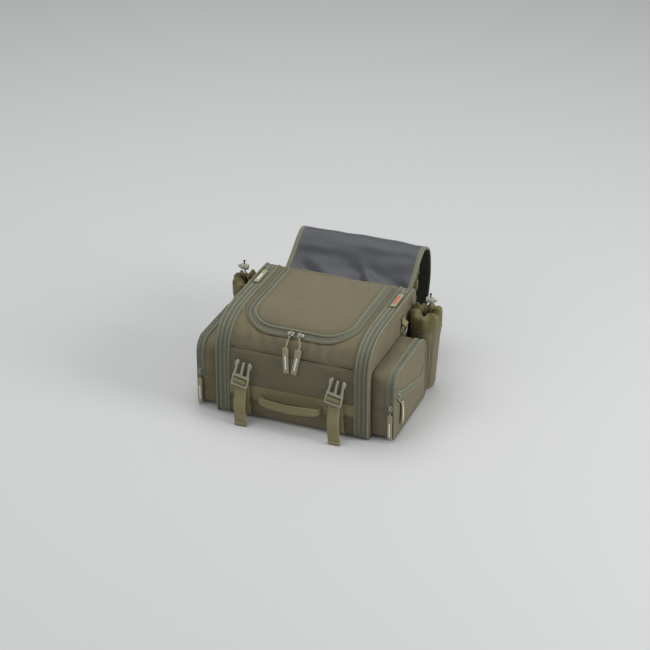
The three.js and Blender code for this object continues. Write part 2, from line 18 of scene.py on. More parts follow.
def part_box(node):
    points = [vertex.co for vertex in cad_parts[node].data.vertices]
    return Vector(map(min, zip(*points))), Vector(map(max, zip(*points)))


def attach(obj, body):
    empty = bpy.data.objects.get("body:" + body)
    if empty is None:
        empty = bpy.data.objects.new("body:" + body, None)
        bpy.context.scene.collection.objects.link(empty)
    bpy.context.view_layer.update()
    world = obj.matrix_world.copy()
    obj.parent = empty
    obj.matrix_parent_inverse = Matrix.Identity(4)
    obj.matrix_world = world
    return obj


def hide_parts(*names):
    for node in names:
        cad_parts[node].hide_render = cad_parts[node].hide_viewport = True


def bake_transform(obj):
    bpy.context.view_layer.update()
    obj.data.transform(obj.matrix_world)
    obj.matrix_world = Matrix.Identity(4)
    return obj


bl_info = {
    "name": "Tail Bag",
    "version": (1, 0, 0),
    "blender": (4, 5, 0),
    "location": "View3D > Sidebar > Tail Bag",
    "description": "Fabric, zippers, webbing and buckles of a soft tail bag",
    "category": "Object",
}

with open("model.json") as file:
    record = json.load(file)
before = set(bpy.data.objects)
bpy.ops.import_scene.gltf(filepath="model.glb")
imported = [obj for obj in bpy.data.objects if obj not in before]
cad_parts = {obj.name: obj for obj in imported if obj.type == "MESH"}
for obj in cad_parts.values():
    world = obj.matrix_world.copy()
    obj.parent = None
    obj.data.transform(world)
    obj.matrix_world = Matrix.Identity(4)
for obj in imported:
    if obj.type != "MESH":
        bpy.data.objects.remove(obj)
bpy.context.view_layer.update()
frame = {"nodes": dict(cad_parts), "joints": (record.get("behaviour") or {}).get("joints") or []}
JOINTS = {joint["name"]: joint for joint in frame["joints"]}

MM = 0.001
SIDES = (("left", -1), ("right", 1))

# The body's outline, seen from the side, and the seams along its length.
PANEL_LOW, PANEL_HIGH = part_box("side_panel_right")
FRONT, REAR, TOP = PANEL_LOW.y, PANEL_HIGH.y, PANEL_HIGH.z
CORNER = 14 * MM
CENTRE_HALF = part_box("main_shell")[1].x
BAND_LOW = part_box("zip_tape_inner_right")[0].x
BAND_MID = (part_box("zip_tape_inner_right")[1].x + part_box("zip_tape_outer_right")[0].x) / 2
SIDE_INNER, SIDE_OUTER = PANEL_LOW.x, PANEL_HIGH.x

# The lid's outline in plan.
LID_LOW, LID_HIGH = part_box("zip_tape_opening")
LID_HALF, LID_FRONT, LID_REAR = LID_HIGH.x, LID_LOW.y, LID_HIGH.y
LID_CORNER = (66 * MM, 59 * MM)
LID_ZIP_HALF = 7 * MM

POCKET_LOW, POCKET_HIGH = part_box("pocket_shell_right")
DOOR_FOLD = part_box("pocket_door_right")[0].z
FRONT_SEAM = 150 * MM
STRAP_X = 97 * MM


# ---------------------------------------------------------------- settings
def length_property(name, value, description):
    return FloatProperty(name=name, description=description, default=value, min=0, max=0.5,
                         unit="LENGTH", precision=5)


def colour_property(name, value, description):
    return FloatVectorProperty(name=name, description=description, default=value, size=3, min=0, max=1,
                               subtype="COLOR")


class TailBagSizes(bpy.types.PropertyGroup):
    piping_radius: length_property("Piping radius", 2.2 * MM, "Radius of the piping on each seam")
    tape_thickness: length_property("Tape thickness", 0.8 * MM, "Thickness of the zipper tape")
    coil_pitch: length_property("Coil pitch", 1.7 * MM, "Distance from one zipper tooth to the next")
    coil_radius: length_property("Coil radius", 0.55 * MM, "Radius of the zipper coil's wire")
    stitch_pitch: length_property("Stitch pitch", 3.6 * MM, "Distance from one stitch to the next")
    stitch_radius: length_property("Stitch radius", 0.32 * MM, "Radius of the sewing thread")
    webbing_width: length_property("Webbing width", 25 * MM, "Width of the straps")
    webbing_thickness: length_property("Webbing thickness", 1.6 * MM, "Thickness of the straps")
    lid_padding: length_property("Lid padding", 4.5 * MM, "Height of the lid's pad over the body")
    weave_pitch: length_property("Weave pitch", 1.1 * MM, "Distance between the fabric's yarns")
    wall: length_property("Wall", 3 * MM, "Thickness of the padded walls")
    collar_pleats: IntProperty(name="Collar pleats", description="Gathers round a holder's mouth",
                               default=9, min=6, max=40)


class TailBagColours(bpy.types.PropertyGroup):
    fabric: colour_property("Fabric", (0.160, 0.138, 0.080), "Main fabric")
    flap: colour_property("Flap", (0.030, 0.031, 0.020), "Outer face of the cargo flap")
    lining: colour_property("Lining", (0.038, 0.043, 0.053), "Coated lining")
    tape: colour_property("Zipper tape", (0.178, 0.178, 0.118), "Zipper tape and piping")
    coil: colour_property("Zipper coil", (0.158, 0.166, 0.132), "Zipper teeth")
    webbing: colour_property("Webbing", (0.240, 0.212, 0.104), "Straps, handle and front band")
    pull: colour_property("Pull tabs", (0.100, 0.088, 0.038), "Webbing of the pull tabs")
    # Painted shade: a near-black colour for thin strips laid where slits beside the teeth, piping edges and
    # the front seam fall in shadow.
    gap: colour_property("Zipper gap", (0.020, 0.020, 0.016), "Dark line beside the teeth")
    collar: colour_property("Collar", (0.110, 0.092, 0.013), "Thin gathered nylon")
    plastic: colour_property("Buckles", (0.315, 0.315, 0.235), "Moulded buckles")
    lock: colour_property("Cord locks", (0.300, 0.300, 0.240), "Moulded cord locks")
    metal: colour_property("Sliders", (0.270, 0.270, 0.215), "Painted sliders and rings")
    cord: colour_property("Cord", (0.028, 0.026, 0.015), "Pull and draw cords")
    thread: colour_property("Thread", (0.150, 0.135, 0.085), "Sewing thread")
    mark: colour_property("Mark", (0.78, 0.78, 0.76), "Pale bar on the pull tabs")
    accent: colour_property("Accent", (0.75, 0.03, 0.02), "Accent bar on the top pull tab")


def sizes():
    return bpy.context.scene.tail_bag_sizes


def colours():
    return bpy.context.scene.tail_bag_colours


# ---------------------------------------------------------------- outlines and paths
def arc_points(centre, radii, start, end, count):
    angles = np.radians(np.linspace(start, end, count))
    return np.stack([centre[0] + radii[0] * np.cos(angles), centre[1] + radii[1] * np.sin(angles)], 1)


def resampled(points, count, closed=False):
    """The same line with evenly spaced points."""
    points = np.asarray(points, float)
    if closed:
        points = np.vstack([points, points[:1]])
    steps = np.linalg.norm(np.diff(points, axis=0), axis=1)
    along = np.concatenate([[0], np.cumsum(steps)])
    wanted = np.linspace(0, along[-1], count + 1 if closed else count)
    line = np.stack([np.interp(wanted, along, points[:, k]) for k in range(points.shape[1])], 1)
    return line[:-1] if closed else line


def smoothed(points, count, closed=False):
    """A Catmull-Rom curve through the points, evenly resampled."""
    p = np.asarray(points, float)
    ends = (p[-1:], p[:2]) if closed else (2 * p[:1] - p[1:2], 2 * p[-1:] - p[-2:-1])
    p = np.vstack([ends[0], p, ends[1]])
    t = np.linspace(0, 1, 16, endpoint=False)[:, None]
    spans = [
        0.5 * (2 * b + (c - a) * t + (2 * a - 5 * b + 4 * c - d) * t**2 + (3 * b - a - 3 * c + d) * t**3)
        for a, b, c, d in zip(p[:-3], p[1:-2], p[2:-1], p[3:])
    ]
    curve = np.vstack(spans if closed else [*spans, p[-2:-1]])
    return resampled(curve, count, closed)


def unit(vectors):
    vectors = np.asarray(vectors, float)
    return vectors / np.maximum(np.linalg.norm(vectors, axis=-1, keepdims=True), 1e-12)


def tangents(points, closed=False):
    if closed:
        return unit(np.roll(points, -1, 0) - np.roll(points, 1, 0))
    return unit(np.gradient(points, axis=0))


def smooth_step(x):
    x = np.clip(x, 0, 1)
    return x * x * (3 - 2 * x)


class Outline:
    """The body's outline in the (y, z) plane, from the middle of the base forward, up and over."""

    def __init__(self):
        rise = TOP - 78 * MM
        controls = [(FRONT, rise), (FRONT + 1 * MM, TOP - 31 * MM), (FRONT + 18 * MM, TOP - 2 * MM),
                    (FRONT + 100 * MM, TOP)]
        a, b, c, d = (np.array(p) for p in controls)
        t = np.linspace(0, 1, 60)[:, None]
        curve = (1 - t)**3 * a + 3 * (1 - t)**2 * t * b + 3 * (1 - t) * t**2 * c + t**3 * d
        r = (CORNER, CORNER)
        line = np.vstack([
            [(0, 0)],
            arc_points((FRONT + CORNER, CORNER), r, 270, 180, 12),
            curve,
            arc_points((REAR - CORNER, TOP - CORNER), r, 90, 0, 12),
            arc_points((REAR - CORNER, CORNER), r, 0, -90, 12),
        ])
        self.points = resampled(line, 1800, closed=True)
        t = tangents(self.points, closed=True)
        self.normals = np.stack([-t[:, 1], t[:, 0]], 1)
        steps = np.linalg.norm(np.roll(self.points, -1, 0) - self.points, axis=1)
        self.along = np.concatenate([[0], np.cumsum(steps)])
        self.length = self.along[-1]
        over = (self.points[:, 1] > TOP / 2) & (self.points[:, 0] < REAR - CORNER)
        self.upper = np.nonzero(over)[0]

    def at(self, s):
        """Points and outward normals at distances along the outline."""
        s = np.mod(s, self.length)
        both = np.hstack([self.points, self.normals])
        both = np.vstack([both, both[:1]])
        found = np.stack([np.interp(s, self.along, both[:, k]) for k in range(4)], -1)
        return found[..., :2], unit(found[..., 2:])

    def where(self, y, z):
        """Distance along the outline of its point nearest to (y, z)."""
        return self.along[np.argmin(np.hypot(self.points[:, 0] - y, self.points[:, 1] - z))]

    def over(self, y):
        """Height and normal of the upper surface at y."""
        ys, zs = self.points[self.upper].T
        normals = self.normals[self.upper]
        lean, rise = (np.interp(y, ys, normals[:, k]) for k in (0, 1))
        n = np.stack([np.zeros_like(y), lean, rise], -1)
        return np.interp(y, ys, zs), unit(n)


OUTLINE = Outline()


def band_path(x, off, count=420):
    """A closed line round the body at x, standing off its surface, with the surface's normals."""
    p, n = OUTLINE.at(np.linspace(0, OUTLINE.length, count, endpoint=False))
    across = np.full(count, x)
    normals = np.stack([np.zeros(count), n[:, 0], n[:, 1]], 1)
    return np.stack([across, p[:, 0], p[:, 1]], 1) + normals * off, normals


def lid_path(count=300):
    """The lid zipper's middle line, from the rear left to the rear right, with the surface's normals."""
    half, front = LID_HALF - LID_ZIP_HALF, LID_FRONT + LID_ZIP_HALF
    rx, ry = LID_CORNER[0] - LID_ZIP_HALF, LID_CORNER[1] - LID_ZIP_HALF
    plan = np.vstack([
        [(-half, LID_REAR)],
        arc_points((rx - half, front + ry), (rx, ry), 180, 270, 24),
        arc_points((half - rx, front + ry), (rx, ry), 270, 360, 24),
        [(half, LID_REAR)],
    ])
    plan = resampled(plan, 3 * count)
    z, _ = OUTLINE.over(plan[:, 1])
    line = resampled(np.column_stack([plan, z]), count)
    line[:, 2], normals = OUTLINE.over(line[:, 1])
    return line, normals


def shifted(path, normals, across, up, closed=False):
    """The line moved sideways on the surface and out from it."""
    sideways = unit(np.cross(tangents(path, closed), normals))
    return path + sideways * across + normals * up


# ---------------------------------------------------------------- meshes
@contextmanager
def edited(mesh):
    """The mesh as a bmesh, written back at the end."""
    bm = bmesh.new()
    bm.from_mesh(mesh)
    yield bm
    bm.to_mesh(mesh)
    bm.free()


def linked(name, mesh):
    piece = bpy.data.objects.new(name, mesh)
    bpy.context.scene.collection.objects.link(piece)
    return piece


def new_object(name, verts, faces, materials, face_materials=None, uvs=None, smooth=True):
    """A mesh object at the origin. uvs holds one pair for each corner of each face."""
    mesh = bpy.data.meshes.new(name)
    mesh.from_pydata([tuple(map(float, v)) for v in verts], [], [tuple(map(int, f)) for f in faces])
    for material in materials:
        mesh.materials.append(material)
    if face_materials is not None:
        mesh.polygons.foreach_set("material_index", np.asarray(face_materials, np.int32))
    if uvs is not None:
        layer = mesh.uv_layers.new(name="Surface")
        layer.data.foreach_set("uv", np.asarray(uvs, np.float32).ravel())
    mesh.polygons.foreach_set("use_smooth", [smooth] * len(mesh.polygons))
    mesh.update()
    return linked(name, mesh)


def grid_faces(rows, columns, closed_rows=False, closed_columns=False, flip=False):
    r = np.arange(rows if closed_rows else rows - 1)
    c = np.arange(columns if closed_columns else columns - 1)
    rr, cc = np.meshgrid(r, c, indexing="ij")
    r2, c2 = (rr + 1) % rows, (cc + 1) % columns
    quads = np.stack([rr * columns + cc, r2 * columns + cc, r2 * columns + c2, rr * columns + c2], -1)
    quads = quads.reshape(-1, 4)
    corners = np.stack([np.stack([rr, cc], -1), np.stack([rr + 1, cc], -1), np.stack([rr + 1, cc + 1], -1),
                        np.stack([rr, cc + 1], -1)], 2).reshape(-1, 4, 2)
    if flip:
        quads, corners = quads[:, ::-1], corners[:, ::-1]
    return quads, corners


def grid_object(name, points, materials, closed_rows=False, closed_columns=False, flip=False,
                face_materials=None, keep=None):
    """A sheet of quads through a (rows, columns, 3) array, with a UV map in metres."""
    rows, columns = points.shape[:2]
    quads, corners = grid_faces(rows, columns, closed_rows, closed_columns, flip)
    wrapped = np.concatenate([points, points[:1]], 0) if closed_rows else points
    wrapped = np.concatenate([wrapped, wrapped[:, :1]], 1) if closed_columns else wrapped
    along, across = (
        np.concatenate([[0], np.cumsum(np.linalg.norm(np.diff(wrapped, axis=axis), axis=2).mean(1 - axis))])
        for axis in (0, 1)
    )
    uvs = np.stack([along[corners[..., 0]], across[corners[..., 1]]], -1)
    if keep is not None:
        quads, uvs = quads[keep], uvs[keep]
        if face_materials is not None:
            face_materials = np.asarray(face_materials)[keep]
    piece = new_object(name, points.reshape(-1, 3), quads, materials, face_materials, uvs.reshape(-1, 2))
    if keep is not None:
        drop_loose(piece)
    return piece


def drop_loose(piece):
    with edited(piece.data) as bm:
        bmesh.ops.delete(bm, geom=[v for v in bm.verts if not v.link_faces], context="VERTS")


def capped(piece, columns):
    """Closes both ends of a tube whose rings have that many points."""
    with edited(piece.data) as bm:
        verts = list(bm.verts)
        bm.faces.new(verts[:columns])
        bm.faces.new(verts[:-columns - 1:-1])
    return outward(piece)


def swept(name, path, normals, profile, materials, closed=False, caps=True):
    """A closed profile of (across, up) pairs carried along a path."""
    path, normals, profile = np.asarray(path, float), np.asarray(normals, float), np.asarray(profile, float)
    t = tangents(path, closed)
    sideways = unit(np.cross(t, normals))
    up = unit(np.cross(sideways, t))
    points = path[:, None] + sideways[:, None] * profile[None, :, :1] + up[:, None] * profile[None, :, 1:2]
    piece = grid_object(name, points, materials, closed_rows=closed, closed_columns=True)
    return capped(piece, len(profile)) if caps and not closed else outward(piece)


def outward(piece):
    """Turns the faces of a closed mesh outward."""
    with edited(piece.data) as bm:
        bmesh.ops.recalc_face_normals(bm, faces=bm.faces)
    return piece


def round_profile(radius, sides=12, flat=1.0):
    angles = np.linspace(0, 2 * math.pi, sides, endpoint=False)
    return np.stack([radius * np.cos(angles), radius * flat * np.sin(angles)], 1)


def band_profile(low, high, bottom, top, edge=0.3 * MM, middle=4):
    """A flat strip with rounded long edges, with a few points across its width."""
    xs = np.linspace(low + edge, high - edge, middle)
    upper = [(x, top) for x in xs]
    lower = [(x, bottom) for x in xs[::-1]]
    mid = (bottom + top) / 2
    return np.array([*upper, (high, mid), *lower, (low, mid)])


def tube(name, path, radius, materials, closed=False, sides=12):
    path = np.asarray(path, float)
    t = tangents(path, closed)
    reference = Vector((0.13, 0.21, 0.97)) if abs(t[0][2]) < 0.9 else Vector((0.97, 0.13, 0.21))
    normal = np.array(reference)
    normals = []
    for direction in t:
        normal = normal - direction * normal.dot(direction)
        normal = normal / np.linalg.norm(normal)
        normals.append(normal)
    return swept(name, path, normals, round_profile(radius, sides), materials, closed)


def extruded(name, outline, thickness, material, bevel, holes=()):
    """A bevelled plate centred on the (x, y) plane. Its outlines are in millimetres."""
    curve = bpy.data.curves.new(name, "CURVE")
    curve.dimensions = "2D"
    curve.fill_mode = "BOTH"
    curve.extrude = thickness / 2 - bevel
    curve.bevel_depth = bevel
    curve.bevel_resolution = 2
    curve.offset = -bevel
    for loop in [outline, *holes]:
        spline = curve.splines.new("POLY")
        spline.points.add(len(loop) - 1)
        for point, (x, y) in zip(spline.points, loop):
            point.co = (x * MM, y * MM, 0, 1)
        spline.use_cyclic_u = True
    holder = bpy.data.objects.new(name + "_curve", curve)
    bpy.context.scene.collection.objects.link(holder)
    depsgraph = bpy.context.evaluated_depsgraph_get()
    mesh = bpy.data.meshes.new_from_object(holder.evaluated_get(depsgraph))
    bpy.data.objects.remove(holder)
    mesh.name = name
    mesh.materials.clear()
    mesh.materials.append(material)
    with edited(mesh) as bm:
        bmesh.ops.remove_doubles(bm, verts=bm.verts, dist=1e-6)
        bmesh.ops.recalc_face_normals(bm, faces=bm.faces)
    return linked(name, mesh)


def moved(piece, matrix):
    """Puts a piece's place in its mesh."""
    piece.data.transform(matrix)
    if matrix.determinant() < 0:
        piece.data.flip_normals()
    piece.data.update()
    return piece


def frame_matrix(origin, x_axis, z_axis):
    x, z = Vector(x_axis).normalized(), Vector(z_axis).normalized()
    y = z.cross(x)
    matrix = Matrix((x, y, z)).transposed().to_4x4()
    matrix.translation = Vector(origin)
    return matrix


def joined(name, pieces):
    """One mesh from several, with their materials kept."""
    bm = bmesh.new()
    materials = []
    for piece in pieces:
        start = len(bm.faces)
        index = []
        for material in piece.data.materials:
            if material not in materials:
                materials.append(material)
            index.append(materials.index(material))
        bm.from_mesh(piece.data)
        bm.faces.ensure_lookup_table()
        for face in bm.faces[start:]:
            face.material_index = index[min(face.material_index, len(index) - 1)]
    mesh = bpy.data.meshes.new(name)
    bm.to_mesh(mesh)
    bm.free()
    for material in materials:
        mesh.materials.append(material)
    for piece in pieces:
        old = piece.data
        bpy.data.objects.remove(piece)
        bpy.data.meshes.remove(old)
    return linked(name, mesh)


def applied(piece):
    """The piece with its modifiers made part of its mesh."""
    depsgraph = bpy.context.evaluated_depsgraph_get()
    mesh = bpy.data.meshes.new_from_object(piece.evaluated_get(depsgraph))
    old = piece.data
    piece.modifiers.clear()
    piece.data = mesh
    mesh.name = piece.name
    bpy.data.meshes.remove(old)
    return piece


def thickened(piece, thickness, inner_material=0):
    """A wall of that thickness inside the sheet."""
    wall = piece.modifiers.new("Wall", "SOLIDIFY")
    wall.thickness = thickness
    wall.offset = -1
    wall.use_even_offset = True
    wall.thickness_clamp = 1.0
    wall.material_offset = inner_material
    wall.material_offset_rim = 0
    return applied(piece)


def rounded(piece, width):
    edge = piece.modifiers.new("Edges", "BEVEL")
    edge.width = width
    edge.segments = 2
    edge.limit_method = "ANGLE"
    edge.angle_limit = math.radians(40)
    return smooth_by_angle(applied(piece))


def smooth_by_angle(piece, angle=35):
    piece.data.polygons.foreach_set("use_smooth", [True] * len(piece.data.polygons))
    piece.data.set_sharp_from_angle(angle=math.radians(angle))
    return piece


def box_piece(name, low, high, material, bevel):
    bm = bmesh.new()
    bmesh.ops.create_cube(bm, size=1)
    mesh = bpy.data.meshes.new(name)
    bm.to_mesh(mesh)
    bm.free()
    low, high = Vector(low), Vector(high)
    mesh.transform(Matrix.Translation((low + high) / 2) @ Matrix.Diagonal((*(high - low), 1)))
    mesh.materials.append(material)
    return rounded(linked(name, mesh), bevel)


def rest_on_floor(piece):
    """Flattens what would sink below the base."""
    for vertex in piece.data.vertices:
        vertex.co.z = max(vertex.co.z, 0.2 * MM)


def finish_piece(piece, body, slot, *nodes, fill=None):
    """Hangs a finished piece on its body and hides the imported parts it takes the place of."""
    rest_on_floor(piece)
    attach(piece, body)
    if nodes:
        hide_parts(*nodes)
    return piece


def sewn(piece, body, *nodes):
    """Hangs zipper tape, teeth or piping on its body."""
    return finish_piece(piece, body, "zipper_tape", *nodes)


# ---------------------------------------------------------------- materials
def node(tree, kind, location=(0, 0), **settings):
    made = tree.nodes.new(kind)
    made.location = location
    for key, value in settings.items():
        setattr(made, key, value)
    return made


def math_node(tree, operation, a, b=None):
    made = node(tree, "ShaderNodeMath", operation=operation)
    for socket, value in zip(made.inputs, (a, b)):
        if value is None:
            continue
        if isinstance(value, (int, float)):
            socket.default_value = value
        else:
            tree.links.new(value, socket)
    return made.outputs[0]


def new_group(name, inputs, outputs):
    tree = bpy.data.node_groups.new(name, "ShaderNodeTree")
    for label, kind, default in inputs:
        socket = tree.interface.new_socket(label, in_out="INPUT", socket_type=kind)
        if default is not None:
            socket.default_value = default
    for label, kind in outputs:
        tree.interface.new_socket(label, in_out="OUTPUT", socket_type=kind)
    return tree, node(tree, "NodeGroupInput"), node(tree, "NodeGroupOutput")


def weave_group():
    """Yarns crossing over and under: a height for the bump, and a shade for the colour: painted shade,
    darker in the hollows between the yarns, with random tone from the fibres.
    """
    tree, given, result = new_group(
        "tail_bag_weave",
        [("Vector", "NodeSocketVector", None), ("Pitch", "NodeSocketFloat", 0.0011),
         ("Ribs", "NodeSocketFloat", 1.0)],
        [("Height", "NodeSocketFloat"), ("Shade", "NodeSocketFloat")])
    split = node(tree, "ShaderNodeSeparateXYZ")
    tree.links.new(given.outputs["Vector"], split.inputs[0])
    step = math_node(tree, "DIVIDE", math.pi, given.outputs["Pitch"])
    u = math_node(tree, "SINE", math_node(tree, "MULTIPLY", split.outputs[0], step))
    v_step = math_node(tree, "MULTIPLY", step, given.outputs["Ribs"])
    v = math_node(tree, "SINE", math_node(tree, "MULTIPLY", split.outputs[1], v_step))
    height = math_node(tree, "ABSOLUTE", math_node(tree, "MULTIPLY", u, v))
    tree.links.new(height, result.inputs["Height"])
    fibres = node(tree, "ShaderNodeTexNoise")
    fibres.inputs["Scale"].default_value = 900
    tree.links.new(given.outputs["Vector"], fibres.inputs["Vector"])
    # Painted shade: the colour darkens where the weave's height is low, in the hollows between yarns.
    shade = math_node(tree, "MULTIPLY_ADD", height, 0.35)
    shade.node.inputs[2].default_value = 0.75
    grain = math_node(tree, "MULTIPLY_ADD", fibres.outputs[0], 0.5)
    grain.node.inputs[2].default_value = 0.75
    tree.links.new(math_node(tree, "MULTIPLY", shade, grain), result.inputs["Shade"])
    return tree


def mottle_group():
    """Slow changes of colour and roughness from handling and dust, lighter on faces that look up."""
    tree, given, result = new_group(
        "tail_bag_mottle",
        [("Vector", "NodeSocketVector", None), ("Size", "NodeSocketFloat", 0.05),
         ("Amount", "NodeSocketFloat", 0.2), ("Dust", "NodeSocketFloat", 0.1)],
        [("Shade", "NodeSocketFloat"), ("Dust", "NodeSocketFloat")])
    scale = math_node(tree, "DIVIDE", 1.0, given.outputs["Size"])
    broad = node(tree, "ShaderNodeTexNoise")
    broad.inputs["Detail"].default_value = 4
    broad.inputs["Roughness"].default_value = 0.65
    tree.links.new(given.outputs["Vector"], broad.inputs["Vector"])
    tree.links.new(scale, broad.inputs["Scale"])
    centred = math_node(tree, "SUBTRACT", broad.outputs[0], 0.5)
    swing = math_node(tree, "MULTIPLY", centred, given.outputs["Amount"])
    tree.links.new(math_node(tree, "ADD", swing, 1.0), result.inputs["Shade"])
    facing = node(tree, "ShaderNodeSeparateXYZ")
    tree.links.new(node(tree, "ShaderNodeNewGeometry").outputs["Normal"], facing.inputs[0])
    upward = math_node(tree, "MAXIMUM", facing.outputs[2], 0.0)
    patches = math_node(tree, "MULTIPLY", upward, broad.outputs[0])
    tree.links.new(math_node(tree, "MULTIPLY", patches, given.outputs["Dust"]), result.inputs["Dust"])
    return tree


def shared_group(name, make):
    return bpy.data.node_groups.get(name) or make()


def use_group(tree, group, location=(0, 0)):
    made = tree.nodes.new("ShaderNodeGroup")
    made.node_tree = group
    made.location = location
    return made


DUST_COLOUR = (0.36, 0.31, 0.22, 1)


def surface_material(name, colour, roughness=0.85, pitch=1.1 * MM, ribs=1.0, bump=0.25, mottle=0.30,
                     mottle_size=0.06, dust=0.04, sheen=0.06, specular=0.3, grain=0.0, metallic=0.0):
    """Cloth, plastic or paint. Grain above zero stands in for the weave on moulded and painted parts."""
    if name in bpy.data.materials:
        return bpy.data.materials[name]
    material = bpy.data.materials.new(name)
    material.use_nodes = True
    material.diffuse_color = (*colour, 1)
    tree = material.node_tree
    shader = tree.nodes["Principled BSDF"]
    shader.inputs["Metallic"].default_value = metallic
    shader.inputs["Specular IOR Level"].default_value = specular
    shader.inputs["Sheen Weight"].default_value = sheen
    shader.inputs["Sheen Roughness"].default_value = 0.6
    coords = node(tree, "ShaderNodeTexCoord", (-1200, 0))
    mottle_node = use_group(tree, shared_group("tail_bag_mottle", mottle_group), (-800, 200))
    tree.links.new(coords.outputs["Object"], mottle_node.inputs["Vector"])
    mottle_node.inputs["Size"].default_value = mottle_size
    mottle_node.inputs["Amount"].default_value = mottle
    mottle_node.inputs["Dust"].default_value = dust
    if grain:
        texture = node(tree, "ShaderNodeTexNoise", (-800, -200))
        texture.inputs["Scale"].default_value = 1 / grain
        tree.links.new(coords.outputs["Object"], texture.inputs["Vector"])
        height, shade = texture.outputs[0], None
    else:
        weave = use_group(tree, shared_group("tail_bag_weave", weave_group), (-800, -200))
        tree.links.new(coords.outputs["UV"], weave.inputs["Vector"])
        weave.inputs["Pitch"].default_value = pitch
        weave.inputs["Ribs"].default_value = ribs
        height, shade = weave.outputs["Height"], weave.outputs["Shade"]
    factor = mottle_node.outputs["Shade"]
    if shade is not None:
        factor = math_node(tree, "MULTIPLY", factor, shade)
    tint = node(tree, "ShaderNodeVectorMath", (-400, 200), operation="SCALE")
    tint.inputs[0].default_value = colour
    tree.links.new(factor, tint.inputs["Scale"])
    dusty = node(tree, "ShaderNodeMix", (-200, 200), data_type="RGBA")
    tree.links.new(mottle_node.outputs["Dust"], dusty.inputs[0])
    tree.links.new(tint.outputs[0], dusty.inputs[6])
    dusty.inputs[7].default_value = DUST_COLOUR
    tree.links.new(dusty.outputs[2], shader.inputs["Base Color"])
    rough = math_node(tree, "MULTIPLY", mottle_node.outputs["Shade"], roughness)
    tree.links.new(rough, shader.inputs["Roughness"])
    bumped = node(tree, "ShaderNodeBump", (-200, -200))
    bumped.inputs["Strength"].default_value = bump
    bumped.inputs["Distance"].default_value = 0.0004
    tree.links.new(height, bumped.inputs["Height"])
    tree.links.new(bumped.outputs[0], shader.inputs["Normal"])
    return material


def fabric_material():
    return surface_material("olive_fabric", colours().fabric, 0.88, sizes().weave_pitch, bump=0.3,
                            mottle=0.42)


def flap_material():
    return surface_material("dark_olive_fabric", colours().flap, 0.85, sizes().weave_pitch, bump=0.3,
                            dust=0.04)


def lining_material():
    return surface_material("coated_lining", colours().lining, 0.50, sizes().weave_pitch * 0.7, bump=0.1,
                            mottle=0.35, mottle_size=0.10, dust=0.05, sheen=0.1, specular=0.45)


def tape_material():
    return surface_material("tape_cloth", colours().tape, 0.85, 0.9 * MM, ribs=0.6, bump=0.3, mottle=0.15)


def piping_material():
    return surface_material("piping", colours().tape, 0.75, 1.0 * MM, bump=0.25, mottle=0.2)


def coil_material():
    return surface_material("zipper_coil", colours().coil, 0.5, grain=0.8 * MM, bump=0.15, sheen=0)


def webbing_material():
    return surface_material("olive_webbing", colours().webbing, 0.8, 1.4 * MM, ribs=0.5, bump=0.6,
                            mottle=0.18)


# Painted shade: dark strips standing in for the shadow in slits by the teeth, under piping and along the
# front seam.
def painted_shade_material():
    return surface_material("painted_shade_lines", colours().gap, 0.9, 1.0 * MM, bump=0.2)


def binding_material():
    return surface_material("edge_binding", colours().tape, 0.8, 1.0 * MM, ribs=0.4, bump=0.4, mottle=0.2)


def pull_material():
    return surface_material("pull_webbing", colours().pull, 0.78, 1.2 * MM, ribs=0.6, bump=0.5)


def collar_material():
    return surface_material("gathered_nylon", colours().collar, 0.6, 0.5 * MM, bump=0.15, mottle=0.3,
                            sheen=0.2, specular=0.4)


def plastic_material():
    return surface_material("moulded_plastic", colours().plastic, 0.48, grain=0.5 * MM, bump=0.12,
                            mottle=0.12,
                            mottle_size=0.02, dust=0.05, sheen=0, specular=0.5)


def lock_material():
    return surface_material("lock_moulding", colours().lock, 0.45, grain=0.5 * MM, bump=0.1, mottle=0.12,
                            mottle_size=0.02, dust=0.05, sheen=0, specular=0.5)


def metal_material():
    return surface_material("painted_metal", colours().metal, 0.38, grain=0.4 * MM, bump=0.08, mottle=0.25,
                            mottle_size=0.01, dust=0.03, sheen=0, specular=0.6, metallic=0.35)


def cord_material():
    return surface_material("braided_cord", colours().cord, 0.8, 1.1 * MM, ribs=1.5, bump=0.6)


def thread_material():
    return surface_material("thread", colours().thread, 0.7, grain=0.6 * MM, bump=0.3, sheen=0.2)


def mark_material():
    return surface_material("pale_bar", colours().mark, 0.6, grain=0.6 * MM, bump=0.2, mottle=0.1, dust=0.05)


def accent_material():
    return surface_material("accent_bar", colours().accent, 0.6, grain=0.6 * MM, bump=0.2, mottle=0.1)


def board_material():
    return surface_material("base_board", (0.035, 0.035, 0.033), 0.6, grain=1.5 * MM, bump=0.3, sheen=0)


